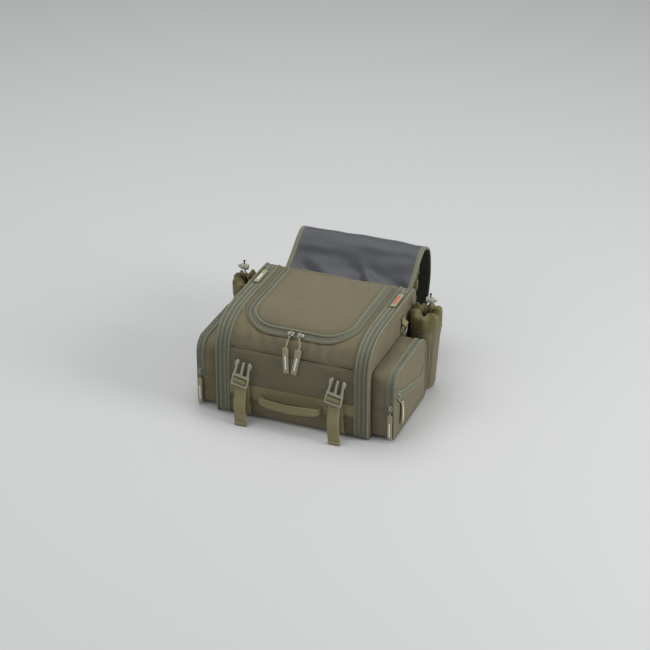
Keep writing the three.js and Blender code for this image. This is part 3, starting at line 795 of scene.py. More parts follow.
# ---------------------------------------------------------------- repeats along a path
def repeat_tree():
    """Rounded bars at even steps along a line, standing on the line's own outward direction."""
    known = bpy.data.node_groups.get("tail_bag_repeat")
    if known:
        return known
    tree = bpy.data.node_groups.new("tail_bag_repeat", "GeometryNodeTree")
    for label, kind in (("Line", "NodeSocketGeometry"), ("Pitch", "NodeSocketFloat"),
                        ("Radius", "NodeSocketFloat"), ("Length", "NodeSocketFloat"),
                        ("Turn", "NodeSocketRotation"), ("Jitter", "NodeSocketFloat"),
                        ("Seed", "NodeSocketInt"), ("Material", "NodeSocketMaterial")):
        tree.interface.new_socket(label, in_out="INPUT", socket_type=kind)
    tree.interface.new_socket("Bars", in_out="OUTPUT", socket_type="NodeSocketGeometry")
    given, result = node(tree, "NodeGroupInput"), node(tree, "NodeGroupOutput")
    link = tree.links.new
    curve = node(tree, "GeometryNodeMeshToCurve")
    link(given.outputs["Line"], curve.inputs[0])
    even = node(tree, "GeometryNodeResampleCurve", mode="LENGTH")
    link(curve.outputs[0], even.inputs["Curve"])
    link(given.outputs["Pitch"], even.inputs["Length"])
    out = node(tree, "GeometryNodeInputNamedAttribute", data_type="FLOAT_VECTOR")
    out.inputs["Name"].default_value = "out"
    stand = node(tree, "FunctionNodeAlignRotationToVector", axis="Z")
    link(out.outputs[0], stand.inputs["Vector"])
    along = node(tree, "FunctionNodeAlignRotationToVector", axis="X", pivot_axis="Z")
    link(stand.outputs[0], along.inputs["Rotation"])
    link(node(tree, "GeometryNodeInputTangent").outputs[0], along.inputs["Vector"])
    bar = node(tree, "GeometryNodeMeshCylinder", fill_type="NGON")
    bar.inputs["Vertices"].default_value = 6
    link(given.outputs["Radius"], bar.inputs["Radius"])
    link(given.outputs["Length"], bar.inputs["Depth"])
    turned = node(tree, "GeometryNodeTransform")
    link(bar.outputs["Mesh"], turned.inputs["Geometry"])
    link(given.outputs["Turn"], turned.inputs["Rotation"])
    spread = node(tree, "FunctionNodeRandomValue", data_type="FLOAT")
    least = node(tree, "ShaderNodeMath", operation="SUBTRACT")
    least.inputs[0].default_value = 1
    link(given.outputs["Jitter"], least.inputs[1])
    link(least.outputs[0], spread.inputs[2])
    spread.inputs[3].default_value = 1
    link(given.outputs["Seed"], spread.inputs["Seed"])
    place = node(tree, "GeometryNodeInstanceOnPoints")
    link(even.outputs[0], place.inputs["Points"])
    link(turned.outputs[0], place.inputs["Instance"])
    link(along.outputs[0], place.inputs["Rotation"])
    link(spread.outputs[1], place.inputs["Scale"])
    real = node(tree, "GeometryNodeRealizeInstances")
    link(place.outputs[0], real.inputs[0])
    paint = node(tree, "GeometryNodeSetMaterial")
    link(real.outputs[0], paint.inputs["Geometry"])
    link(given.outputs["Material"], paint.inputs["Material"])
    link(paint.outputs[0], result.inputs[0])
    return tree


def repeated(name, path, normals, material, pitch, radius, length, along=False, closed=False, jitter=0.0,
             seed=1):
    """Bars along a path, across it for zipper teeth or along it for stitches."""
    path, normals = np.asarray(path, float), np.asarray(normals, float)
    count = len(path)
    mesh = bpy.data.meshes.new(name + "_line")
    edges = [(i, (i + 1) % count) for i in range(count if closed else count - 1)]
    mesh.from_pydata(path.tolist(), edges, [])
    out = mesh.attributes.new("out", "FLOAT_VECTOR", "POINT")
    out.data.foreach_set("vector", np.ascontiguousarray(normals, np.float32).ravel())
    piece = linked(name, mesh)
    tree = repeat_tree()
    modifier = piece.modifiers.new("Repeat", "NODES")
    modifier.node_group = tree
    keys = {item.name: item.identifier for item in tree.interface.items_tree if item.in_out == "INPUT"}
    turn = (0.0, math.pi / 2, 0.0) if along else (math.pi / 2, 0.0, 0.0)
    values = {"Pitch": pitch, "Radius": radius, "Length": length, "Turn": turn, "Jitter": jitter,
              "Seed": seed,
              "Material": material}
    for label, value in values.items():
        modifier[keys[label]] = value
    applied(piece)
    if not piece.data.materials:
        piece.data.materials.append(material)
    return smooth_by_angle(piece, 50)


def stitches(name, path, normals, lift=0.15 * MM, closed=False):
    size = sizes()
    path = np.asarray(path, float) + np.asarray(normals, float) * lift
    return repeated(name, path, normals, thread_material(), size.stitch_pitch, size.stitch_radius,
                    size.stitch_pitch * 0.68, along=True, closed=closed, jitter=0.15, seed=3)


def teeth(name, path, normals, side, closed=False):
    """Half of a zipper's coil, on one side of its middle line."""
    size = sizes()
    line = shifted(path, normals, side * 0.85 * MM, 0.75 * MM, closed)
    return repeated(name, line, normals, coil_material(), size.coil_pitch, size.coil_radius, 1.9 * MM,
                    closed=closed)


def ripple(points, size, seed):
    """A smooth wandering height from about -1 to 1."""
    waves = 7
    random = np.random.default_rng(seed)
    total = np.zeros(points.shape[:-1])
    for _ in range(waves):
        direction = random.normal(size=points.shape[-1])
        direction *= 2 * math.pi / (size * random.uniform(0.7, 1.7) * np.linalg.norm(direction))
        total += np.sin(points @ direction + random.uniform(0, 2 * math.pi))
    return total / math.sqrt(waves)


def bump_at(x, centre, width):
    return np.exp(-((x - centre) / width)**2)


# ---------------------------------------------------------------- pieces
class TAILBAG_OT_centre_shell(bpy.types.Operator):
    """Make the middle of the bag, with its opening, seams and piping"""
    bl_idname = "tailbag.centre_shell"
    bl_label = "Centre Shell"

    def execute(self, context):
        size = sizes()
        rows, columns = 260, 84
        along = np.linspace(0, OUTLINE.length, rows, endpoint=False)
        base, normal = OUTLINE.at(along)
        x = np.linspace(-CENTRE_HALF, CENTRE_HALF, columns)
        points = np.empty((rows, columns, 3))
        points[..., 0] = x
        points[..., 1:] = base[:, None]
        normals = np.zeros_like(points)
        normals[..., 1:] = normal[:, None]
        y, z = points[..., 1], points[..., 2]
        rx, ry = LID_CORNER
        corner_x = np.maximum(np.abs(points[..., 0]) - (LID_HALF - rx), 0) / rx
        corner_y = np.maximum(LID_FRONT + ry - y, 0) / ry
        on_top = (normals[..., 2] > 0.2) & (y < LID_REAR + 1 * MM)
        inside = on_top & (np.hypot(corner_x, corner_y) < 1.0) & (y < LID_REAR)
        faces, _ = grid_faces(rows, columns, closed_rows=True)
        flat_inside = inside.ravel()
        keep = flat_inside[faces].sum(1) < 2
        used = np.zeros(rows * columns, bool)
        used[faces[keep].ravel()] = True
        rim_count = np.zeros(rows * columns, int)
        np.add.at(rim_count, faces[keep].ravel(), 1)
        full = np.zeros(rows * columns, int)
        np.add.at(full, faces.ravel(), 1)
        rim = used & (rim_count < full)
        path, _ = lid_path(600)
        flat_normals = np.tile([0.0, 0.0, 1.0], (len(path), 1))
        edge = shifted(path, flat_normals, LID_ZIP_HALF, 0)
        edge = edge[edge[:, 1] <= LID_REAR]
        rear = np.stack([np.linspace(LID_HALF, -LID_HALF, 200), np.full(200, LID_REAR), np.full(200, TOP)],
                        1)
        edge = np.vstack([edge, rear])
        flat = points.reshape(-1, 3)
        for i in np.nonzero(rim)[0]:
            nearest = edge[np.argmin(np.hypot(edge[:, 0] - flat[i, 0], edge[:, 1] - flat[i, 1]))]
            flat[i, :2] = nearest[:2]
            flat[i, 2] = OUTLINE.over(flat[i:i + 1, 1])[0][0]
        points = flat.reshape(points.shape)
        y, z = points[..., 1], points[..., 2]
        across = points[..., 0] / CENTRE_HALF
        swell = 1 - across**6
        on_front = smooth_step((-normals[..., 1] - 0.2) / 0.5)
        on_rear = smooth_step((normals[..., 1] - 0.5) / 0.4)
        calm = 1 - smooth_step((105 * MM - z) / (20 * MM)) * smooth_step((z
                                                                          - 25 * MM) / (10 * MM)) * on_front
        near_lid = np.exp(-np.maximum(np.hypot(corner_x, corner_y) - 1, 0) * 9) * on_top
        stretched = points * np.array([1.0, 1.0, 2.2])
        wrinkles = ripple(stretched, 0.09, 5) * 1.0 + ripple(stretched, 0.035, 6) * 0.35
        above_seam = smooth_step((z - FRONT_SEAM - 2 * MM) / (12 * MM)) * on_front
        drawn = np.sin(points[..., 0] * 190 + 2.5 * ripple(points, 0.09, 8)) * above_seam
        lift = swell * (1.2 * calm + wrinkles * (0.7 + 0.7 * on_rear) * calm + 1.5 * drawn) * (1 - near_lid)
        lift -= 2.4 * bump_at(z, FRONT_SEAM, 2.8 * MM) * on_front * (1 - 0.2 * across**2)
        lift *= 1 - smooth_step((12 * MM - z) / (8 * MM))
        points = points + normals * (lift * MM)[..., None]
        fabric, lining = fabric_material(), lining_material()
        shell = grid_object("centre_shell", points, [fabric, lining], closed_rows=True, keep=keep, flip=True)
        shell = thickened(shell, size.wall, inner_material=1)
        finish_piece(shell, "bag", "shell_fabric", "main_shell")
        for side, sign in SIDES:
            path, normals = band_path(sign * (CENTRE_HALF - 0.4 * MM), 0.6 * MM)
            ring = swept("piping_inner_" + side, path, normals, round_profile(size.piping_radius),
                         [piping_material()],
                         closed=True)
            sewn(ring, "bag")
            path, normals = band_path(sign * (CENTRE_HALF - 5.5 * MM), 0.9 * MM)
            finish_piece(stitches("stitches_band_" + side, path, normals, closed=True), "bag",
                         "shell_fabric")
        x = np.linspace(-CENTRE_HALF + 6 * MM, CENTRE_HALF - 6 * MM, 90)
        for name, rise in (("crease", 0), ("low", -4 * MM), ("high", 4.5 * MM)):
            point, normal = OUTLINE.at(np.array([OUTLINE.where(FRONT, FRONT_SEAM + rise)]))
            line = np.column_stack([x, np.full(90, point[0, 0]), np.full(90, point[0, 1])])
            normals = np.tile([0, normal[0, 0], normal[0, 1]], (90, 1))
            # The crease row is a dark strip sunk in the seam's groove: painted shadow along the front seam.
            if name == "crease":
                fold = band_profile(-0.4 * MM, 0.4 * MM, -1.6 * MM, 0.1 * MM, edge=0.1 * MM)
                finish_piece(swept("front_seam_painted_shadow", line, normals, fold, [painted_shade_material()]), "bag",
                             "shell_fabric")
                continue
            seam = stitches("stitches_front_" + name, line + normals * 0.5 * MM, normals)
            finish_piece(seam, "bag", "shell_fabric")
        return {"FINISHED"}


class TAILBAG_OT_expander_zippers(bpy.types.Operator):
    """Make the expansion zippers that join the middle to the sides"""
    bl_idname = "tailbag.expander_zippers"
    bl_label = "Expander Zippers"

    def execute(self, context):
        size = sizes()
        for side, sign in SIDES:
            path, normals = band_path(sign * BAND_MID, 0.2 * MM)
            inward = -sign if np.cross(tangents(path, True)[0], normals[0])[0] > 0 else sign
            spans = (("inner", BAND_LOW - BAND_MID, -0.55 * MM, "bag", -1),
                     ("outer", 0.55 * MM, SIDE_INNER - BAND_MID, "side_" + side, 1))
            for name, low, high, body, half in spans:
                ends = sorted((low * -inward, high * -inward))
                profile = band_profile(ends[0], ends[1], 0, size.tape_thickness, middle=5)
                tape = swept("expander_tape_%s_%s" % (name, side), path, normals, profile, [tape_material()],
                             closed=True)
                sewn(tape, body, "zip_tape_%s_%s" % (name, side))
                coil = teeth("expander_teeth_%s_%s" % (name, side), path, normals, -inward * half,
                             closed=True)
                sewn(coil, body)
                # Dark strips beside the teeth and at the tape's edge by the piping: painted shade in the
                # slits there.
                for k, (near, far) in enumerate(((2.0, 2.3), (7.8, 8.8))):
                    ends = sorted((-inward * half * near * MM, -inward * half * far * MM))
                    line = swept("expander_line_%s_%s_%d" % (name, side, k), path, normals,
                                 band_profile(*ends, 0, size.tape_thickness + 0.12 * MM, edge=0.1 * MM),
                                 [painted_shade_material()],
                                 closed=True)
                    sewn(line, body)
            path, normals = band_path(sign * (SIDE_INNER + 1.6 * MM), 1.2 * MM)
            ring = swept("piping_outer_" + side, path, normals, round_profile(size.piping_radius),
                         [piping_material()],
                         closed=True)
            sewn(ring, "side_" + side)
        return {"FINISHED"}


class TAILBAG_OT_gussets(bpy.types.Operator):
    """Make the folded-in cloth that the expansion zippers let out"""
    bl_idname = "tailbag.gussets"
    bl_label = "Gussets"

    def execute(self, context):
        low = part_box("gusset_right")[0].x
        for side, sign in SIDES:
            columns = 56
            x = np.linspace(low, SIDE_INNER + 1 * MM, columns)
            path, normals = band_path(0, -5.6 * MM, 240)
            points = path[:, None] + np.zeros((1, columns, 1))
            points[..., 0] = sign * x
            out = np.repeat(normals[:, None], columns, 1)
            crease = ripple(points * np.array([2.4, 1, 1]), 0.05, 11) * 0.55 * MM
            points = points + out * np.minimum(crease, 0.3 * MM)[..., None]
            cloth = grid_object("gusset_cloth_" + side, points, [fabric_material(), lining_material()],
                                closed_rows=True, flip=sign > 0)
            outward(cloth)
            cloth = thickened(cloth, 1.2 * MM, inner_material=1)
            finish_piece(cloth, "side_" + side, "shell_fabric", "gusset_" + side)
        return {"FINISHED"}


def ring_sheet(name, outline, x_at, materials, rings):
    """A sheet over a closed (y, z) outline, made of rings that shrink to its middle."""
    outline = np.asarray(outline, float)
    centre = outline.mean(0)
    shares = np.linspace(0, 1, rings + 1)[:-1]
    points = np.empty((rings, len(outline), 3))
    for i, share in enumerate(shares):
        loop = centre + (outline - centre) * (1 - share)
        points[i, :, 1:] = loop
        points[i, :, 0] = x_at(loop, share)
    verts = points.reshape(-1, 3)
    middle = [x_at(centre[None], 1.0)[0], centre[0], centre[1]]
    verts = np.vstack([verts, [middle]])
    count = len(outline)
    quads, _ = grid_faces(rings, count, closed_columns=True)
    last = (rings - 1) * count
    fan = [(last + i, len(verts) - 1, last + (i + 1) % count) for i in range(count)]
    faces = [*quads.tolist(), *fan]
    uvs = [(verts[i][1], verts[i][2]) for face in faces for i in face]
    return new_object(name, verts, faces, materials, uvs=uvs)


def facing(piece, direction):
    """Turns an open sheet so that its faces look along a direction."""
    total = sum((face.normal * face.area for face in piece.data.polygons), Vector())
    if total.dot(Vector(direction)) < 0:
        piece.data.flip_normals()
    return piece


class TAILBAG_OT_side_panels(bpy.types.Operator):
    """Make the padded panels that close the bag's sides"""
    bl_idname = "tailbag.side_panels"
    bl_label = "Side Panels"

    def execute(self, context):
        for side, sign in SIDES:
            outline = OUTLINE.at(np.linspace(0, OUTLINE.length, 200, endpoint=False))[0]

            def surface(loop, share):
                spread = np.column_stack([loop, np.zeros(len(loop))])
                swell = min(share * 5, 1) * 0.8 * MM + ripple(spread, 0.08, 21) * 0.5 * MM * min(share * 6,
                                                                                                 1)
                return sign * (SIDE_OUTER - 0.8 * MM + np.minimum(swell, 1.0 * MM) * np.ones(len(loop)))

            panel = ring_sheet("side_panel_cloth_" + side, outline, surface,
                               [fabric_material(), lining_material()],
                               rings=22)
            facing(panel, (sign, 0, 0))
            panel = thickened(panel, SIDE_OUTER - SIDE_INNER - 1.0 * MM, inner_material=1)
            finish_piece(panel, "side_" + side, "shell_fabric", "side_panel_" + side)
        return {"FINISHED"}


class TAILBAG_OT_lid(bpy.types.Operator):
    """Make the padded lid with its zipper"""
    bl_idname = "tailbag.lid"
    bl_label = "Lid"

    def execute(self, context):
        size = sizes()
        path, normals = lid_path()
        opening = band_profile(0.5 * MM, LID_ZIP_HALF, 0, size.tape_thickness)
        tape = swept("opening_tape", path, normals, opening, [tape_material()])
        sewn(tape, "bag", "zip_tape_opening")
        lid_tape = band_profile(-LID_ZIP_HALF - 0.3 * MM, -0.5 * MM, 0, size.tape_thickness)
        sewn(swept("lid_tape", path, normals, lid_tape, [tape_material()]), "lid",
             "zip_tape_lid")
        sewn(teeth("opening_teeth", path, normals, 1), "bag")
        sewn(teeth("lid_teeth", path, normals, -1), "lid")
        # Dark strips below the opening's piping and beside the lid's teeth: painted shadow in the slits
        # there.
        for name, low, high, body in (("opening", 5.4 * MM, 6.9 * MM, "bag"),
                                      ("lid", -2.4 * MM, -2.1 * MM, "lid")):
            line = swept(name + "_line", path, normals,
                         band_profile(low, high, 0, size.tape_thickness + 0.12 * MM, edge=0.1 * MM),
                         [painted_shade_material()])
            sewn(line, body)
        outer = shifted(path, normals, LID_ZIP_HALF + 1.0 * MM, 0.9 * MM)
        ring = swept("opening_piping", outer, normals, round_profile(size.piping_radius * 0.6),
                     [fabric_material()])
        sewn(ring, "bag")
        inner = shifted(path, normals, -LID_ZIP_HALF - 1.2 * MM, 1.4 * MM)
        ring = swept("lid_piping", inner, normals, round_profile(size.piping_radius * 1.4),
                     [piping_material()])
        sewn(ring, "lid")
        self.pad(path, normals)
        return {"FINISHED"}

    def pad(self, path, normals):
        size = sizes()
        inset = shifted(path, normals, -LID_ZIP_HALF - 0.8 * MM, 0)
        outline = inset[:, :2]
        outline = outline[outline[:, 1] < LID_REAR - 1 * MM]
        half = abs(outline[0, 0])
        rear = np.stack([np.linspace(half, -half, 60), np.full(60, LID_REAR)], 1)
        outline = resampled(np.vstack([outline, rear]), 220, closed=True)
        centre = np.array([0.0, 20 * MM])
        rings = 30
        layers = []
        for upper in (True, False):
            for i in range(rings):
                share = i / rings
                loop = centre + (outline - centre) * (1 - share)
                z, n = OUTLINE.over(loop[:, 1])
                place = np.column_stack([loop, z])
                wander = ripple(place, 0.085, 31) * 0.7 + ripple(place, 0.035, 32) * 0.22
                edge = min(share * 7, 1)
                crown = size.lid_padding * math.sqrt(edge * (2 - edge)) + wander * MM * edge
                crown += 2.0 * MM * smooth_step(share * 1.4)
                offset = crown if upper else np.full(len(loop), -3.6 * MM) + 3.0 * MM * (share == 0)
                layers.append(place + n * np.reshape(offset, (-1, 1)))
        count = len(outline)
        loops = layers[:rings - 1:-1] + layers[:rings]
        points = np.array(loops)
        verts = points.reshape(-1, 3)
        bottom, top = verts[:count].mean(0), verts[-count:].mean(0)
        verts = np.vstack([verts, [bottom], [top]])
        quads, _ = grid_faces(len(loops), count, closed_columns=True)
        last = (len(loops) - 1) * count
        low_fan = [((i + 1) % count, len(verts) - 2, i) for i in range(count)]
        high_fan = [(last + i, len(verts) - 1, last + (i + 1) % count) for i in range(count)]
        faces = [*quads.tolist(), *low_fan, *high_fan]
        uvs = [(verts[i][0], verts[i][1]) for face in faces for i in face]
        split = (rings - 1) * count
        face_materials = [1 if max(face) < split + count and len(face) == 4 else 0
                          for face in quads.tolist()]
        face_materials += [1] * count + [0] * count
        pad = new_object("lid_pad", verts, faces, [fabric_material(), lining_material()], face_materials,
                         uvs)
        outward(pad)
        finish_piece(pad, "lid", "shell_fabric", "lid_panel", fill=0.75)
        line = shifted(path, normals, -LID_ZIP_HALF - 7.0 * MM, size.lid_padding)
        finish_piece(stitches("stitches_lid", line, normals, lift=0.7 * MM), "lid", "shell_fabric")


PIN_HEIGHT = 4 * MM
LID_PIN = JOINTS["lid_pull_right_swing"]["pos_m"]
EXPANDER_PIN = JOINTS["expander_pull_right_lift"]["pos_m"]
POCKET_PIN = JOINTS["pocket_pull_right_swing"]["pos_m"]
FLAT_PIN = JOINTS["flat_pull_right_swing"]["pos_m"]


def lid_seat():
    """The place of the lid's right slider on its zipper, and the way up from there."""
    _, normal = OUTLINE.over(np.array([LID_FRONT + LID_ZIP_HALF]))
    up = normal[0]
    place = np.array(LID_PIN) - up * PIN_HEIGHT
    return place, up


class TAILBAG_OT_sliders(bpy.types.Operator):
    """Make the eight zipper sliders"""
    bl_idname = "tailbag.sliders"
    bl_label = "Zipper Sliders"

    def execute(self, context):
        place, up = lid_seat()
        for side, sign in SIDES:
            at = (sign * place[0], place[1], place[2])
            self.slider("lid_slider_" + side, frame_matrix(at, (-sign, 0, 0), up), True)
            x, y, z = EXPANDER_PIN
            self.slider("expander_slider_" + side, frame_matrix((sign * x, y, z - PIN_HEIGHT), (0, 1, 0),
                                                                (0, 0, 1)))
            x, y, z = POCKET_PIN
            seat = frame_matrix((sign * x, y + PIN_HEIGHT, z), (0, 0, -1), (0, -1, 0))
            self.slider("pocket_slider_" + side, seat)
            x, y, z = FLAT_PIN
            seat = frame_matrix((sign * (x - PIN_HEIGHT), y, z), (0, -1, 0), (sign, 0, 0))
            self.slider("flat_slider_" + side, seat, True)
        return {"FINISHED"}

    def slider(self, name, matrix, across=False):
        metal = metal_material()
        plan = [(-7, -2.2), (-6, -3.4), (2, -4.4), (6, -4.6), (7, -3.4), (5.2, 0), (7, 3.4), (6, 4.6),
                (2, 4.4),
                (-6, 3.4), (-7, 2.2)]
        upper = extruded(name + "_upper", plan, 1.1 * MM, metal, bevel=0.3 * MM)
        upper.data.transform(Matrix.Translation((0, 0, 2.0 * MM)))
        lower = extruded(name + "_lower", plan, 1.0 * MM, metal, bevel=0.25 * MM)
        lower.data.transform(Matrix.Translation((0, 0, 0.2 * MM)))
        core = box_piece(name + "_core", (-2.5 * MM, -1.1 * MM, 0.2 * MM), (5 * MM, 1.1 * MM, 2 * MM),
                         metal, 0.2 * MM)
        arch = [(-4.4, 2.2), (-4.0, 4.4), (-2.6, 5.7), (0, 6.1), (2.6, 5.7), (4.0, 4.4), (4.4, 2.2)]
        path = smoothed([(a * MM, 0, b * MM) for a, b in arch], 26)
        normals = np.tile([0.0, 1.0, 0.0], (len(path), 1))
        bridge = swept(name + "_bridge", path, normals, round_profile(0.7 * MM, 10, 1.9), [metal])
        if across:
            bridge.data.transform(Matrix.Rotation(math.pi / 2, 4, "Z"))
        whole = joined(name + "_body", [upper, lower, core, bridge])
        moved(outward(smooth_by_angle(whole)), matrix)
        finish_piece(whole, name, "slider_metal", name)


def strip(name, route, width_axis, half_width, thickness, material, count):
    """A flat strip along a route, with its width along one axis or along one axis at each point."""
    width_axis = np.broadcast_to(np.asarray(width_axis, float), np.shape(route))
    line = smoothed(np.hstack([route, width_axis * MM]), count)
    route, width = line[:, :3], unit(line[:, 3:])
    normals = unit(np.cross(width, tangents(route)))
    profile = band_profile(-half_width, half_width, -thickness / 2, thickness / 2, edge=thickness * 0.3,
                           middle=5)
    return swept(name, route, normals, profile, [material])


class TAILBAG_OT_pulls(bpy.types.Operator):
    """Make the eight zipper pulls, each a wire loop, a cord and a webbing tab with a bar"""
    bl_idname = "tailbag.pulls"
    bl_label = "Zipper Pulls"

    def execute(self, context):
        x, y, z = LID_PIN
        for side, sign in SIDES:
            out = 5.0 if side == "right" else -1.5
            top, low = (-FRONT + y) / MM, z / MM
            route = [(0, 0, 0), (0, -7.5, -4), (out, 7.5 - top, 177 - low), (out, -0.5 - top, 168 - low)]
            tab = [(out, 0 - top, 170 - low), (out * 0.6, -2.5 - top, 154 - low),
                   (-out * 0.8, -4.5 - top, 118 - low)]
            self.pull("lid_pull_" + side, (sign * x, y, z), route, tab, 6 * MM, (1, 0, 0))
        x, y, z = EXPANDER_PIN
        for side, sign in SIDES:
            route = [(0, 0, 0), (0, -8.5, -0.4), (0, -14, -1)]
            tab = [(0, -13, -1), (0, -38, -1.6), (0, -65, -1.4)]
            accent = side == "right"
            self.pull("expander_pull_" + side, (sign * x, y, z), route, tab, 5.5 * MM, (1, 0, 0), accent)
        x, y, z = POCKET_PIN
        for side, sign in SIDES:
            route = [(0, 0, 0), (0, -0.6, -8.5), (0, -0.6, -15)]
            tab = [(0, -0.6, -14), (0, -1.6, -40), (0, -0.8, -69)]
            self.pull("pocket_pull_" + side, (sign * x, y, z), route, tab, 5 * MM, (1, 0, 0))
        x, y, z = FLAT_PIN
        for side, sign in SIDES:
            route = [(0, 0, 0), (0, 0, -8.5), (0, 5, -15), (0, 16, -24)]
            out = -5.0 if side == "left" else 0.6
            tab = [(0, 16, -23), (out * 0.4, 21, -30), (out * 1.2, 22, -50), (out * 2, 21, -72)]
            self.pull("flat_pull_" + side, (sign * x, y, z), route, tab, 5 * MM, (0, 1, 0))
        return {"FINISHED"}

    def pull(self, name, pin, route, tab, half_width, width_axis, accent=False):
        pin = np.array(pin)
        route = np.array(route, float) * MM
        tab = np.array(tab, float) * MM
        width = np.array(width_axis, float)
        reach = route[1]
        along = reach / np.linalg.norm(reach)
        ring = []
        for angle in np.linspace(0, 2 * math.pi, 24, endpoint=False):
            ring.append(reach / 2 + along * np.linalg.norm(reach) * 0.52 * math.cos(angle)
                        + width * 2.5 * MM * math.sin(angle))
        loop = tube(name + "_wire", np.array(ring) + pin, 0.6 * MM, [metal_material()], closed=True, sides=8)
        cord = smoothed(route[1:], 24) if len(route) > 2 else np.linspace(route[1], route[-1], 24)
        pieces = [loop]
        for offset in (-0.9, 0.9):
            strand = cord + pin + width * offset * MM
            pieces.append(tube(name + "_cord", strand, 0.85 * MM, [pull_material()], sides=8))
        line = smoothed(tab, 40) + pin
        cloth = strip(name + "_tab", line[::3], width_axis, half_width, 1.6 * MM, pull_material(), 40)
        pieces.append(cloth)
        normals = unit(np.cross(width, tangents(line)))
        face = 1 if normals[20].dot(np.array([np.sign(pin[0]) * abs(width[1]), -abs(width[0]),
                                              0.3])) > 0 else -1
        low, high = (12, 34) if not accent else (6, 32)
        bar = swept(name + "_bar", line[low:high] + normals[low:high] * face * 1.0 * MM,
                    normals[low:high] * face,
                    band_profile(-half_width * 0.26, half_width * 0.26, 0, 0.5 * MM, edge=0.15 * MM),
                    [accent_material() if accent else mark_material()])
        whole = joined(name + "_cloth", [*pieces, bar])
        finish_piece(whole, name, "pull_webbing", name)


BUCKLE_LEAN = math.radians(12)
BUCKLE_SHIFT = -5 * MM


class TAILBAG_OT_straps(bpy.types.Operator):
    """Make the front webbing and the two straps that run over the male buckles"""
    bl_idname = "tailbag.straps"
    bl_label = "Front Webbing And Straps"

    def execute(self, context):
        size = sizes()
        low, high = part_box("front_webbing")
        x = np.linspace(low.x, high.x, 90)
        middle, half = (low.z + high.z) / 2, (high.z - low.z) / 2 - 1.5 * MM
        path = np.column_stack([x, np.full(90, FRONT - 0.2 * MM), np.full(90, middle)])
        normals = np.tile([0.0, -1.0, 0.0], (90, 1))
        band = swept("front_band", path, normals, band_profile(-half, half, 0, 1.6 * MM, middle=9),
                     [webbing_material()])
        finish_piece(band, "bag", "webbing", "front_webbing")
        for name, height in (("low", -half + 2 * MM), ("high", half - 2 * MM)):
            line = path + [0, -1.6 * MM, height]
            finish_piece(stitches("stitches_band_" + name, line, normals), "bag", "webbing")
        tacks = []
        for k, at in enumerate(np.linspace(-49, 49, 8) * MM):
            line = np.column_stack([np.full(8, at), np.full(8, FRONT - 1.8 * MM),
                                    np.linspace(-half, half, 8) + middle])
            tacks.append(stitches("tack_%d" % k, line, normals[:8]))
        finish_piece(joined("stitches_band_tacks", tacks), "bag", "webbing")
        for side, _ in SIDES:
            self.strap(side, size)
        return {"FINISHED"}

    def strap(self, side, size):
        low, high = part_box("strap_" + side)
        x = (low.x + high.x) / 2
        bar_y, bar_z = (value / MM for value in JOINTS["buckle_male_right_tilt"]["pos_m"][1:])
        rise = [(1, -134.3, 7), (0, -136.2, 25), (-2, -136.5, 60), (-4, -136.7, 80)]
        wrap = [(5.6, 2), (2.6, 3.7), (0, 4.1), (-2.8, 3), (-4.3, 0), (-3.0, -3.6), (1.4, -6.2),
                (3.3, -9.2), (2.9, -12.5)]
        hang = [(-4, -146.5, 67), (-3, -151.5, 56), (-1, -160, 40), (2, -164.5, 20), (5, -168.3, 5)]
        route = rise + [(BUCKLE_SHIFT / MM, bar_y + a, bar_z + b) for a, b in wrap] + hang
        route = np.array([(x + dx * MM, y * MM, z * MM) for dx, y, z in route])
        route[:, 1] += 0.4 * MM * np.sin(route[:, 2] * 120)
        axes = np.tile([1.0, 0.0, 0.0], (len(route), 1))
        axes[len(rise):len(rise) + len(wrap)] = (math.cos(BUCKLE_LEAN), 0, -math.sin(BUCKLE_LEAN))
        band = strip("strap_band_" + side, route, axes, size.webbing_width / 2, size.webbing_thickness,
                     webbing_material(), count=130)
        x += 5 * MM
        hem_route = [(x, -168.0 * MM, 6.4 * MM), (x, -170.2 * MM, 5.4 * MM), (x, -170.4 * MM, 3.0 * MM),
                     (x, -168.6 * MM, 2.0 * MM), (x, -167.2 * MM, 6.5 * MM)]
        hem = strip("strap_hem_" + side, hem_route, (1, 0, 0), size.webbing_width / 2,
                    size.webbing_thickness,
                    webbing_material(), count=30)
        whole = joined("strap_cloth_" + side, [band, hem])
        finish_piece(whole, "bag", "webbing", "strap_" + side)
        line = smoothed(route[-5:], 60)
        across = np.linspace(-0.42, 0.42, 12)[:, None] * [size.webbing_width, 0, 0]
        normals = np.tile([0.0, -0.95, 0.25], (12, 1))
        for k, at in enumerate((56, 52)):
            row = line[at] + across
            finish_piece(stitches("stitches_hem_%s_%d" % (side, k), row + normals * 0.9 * MM, normals),
                         "bag", "webbing")


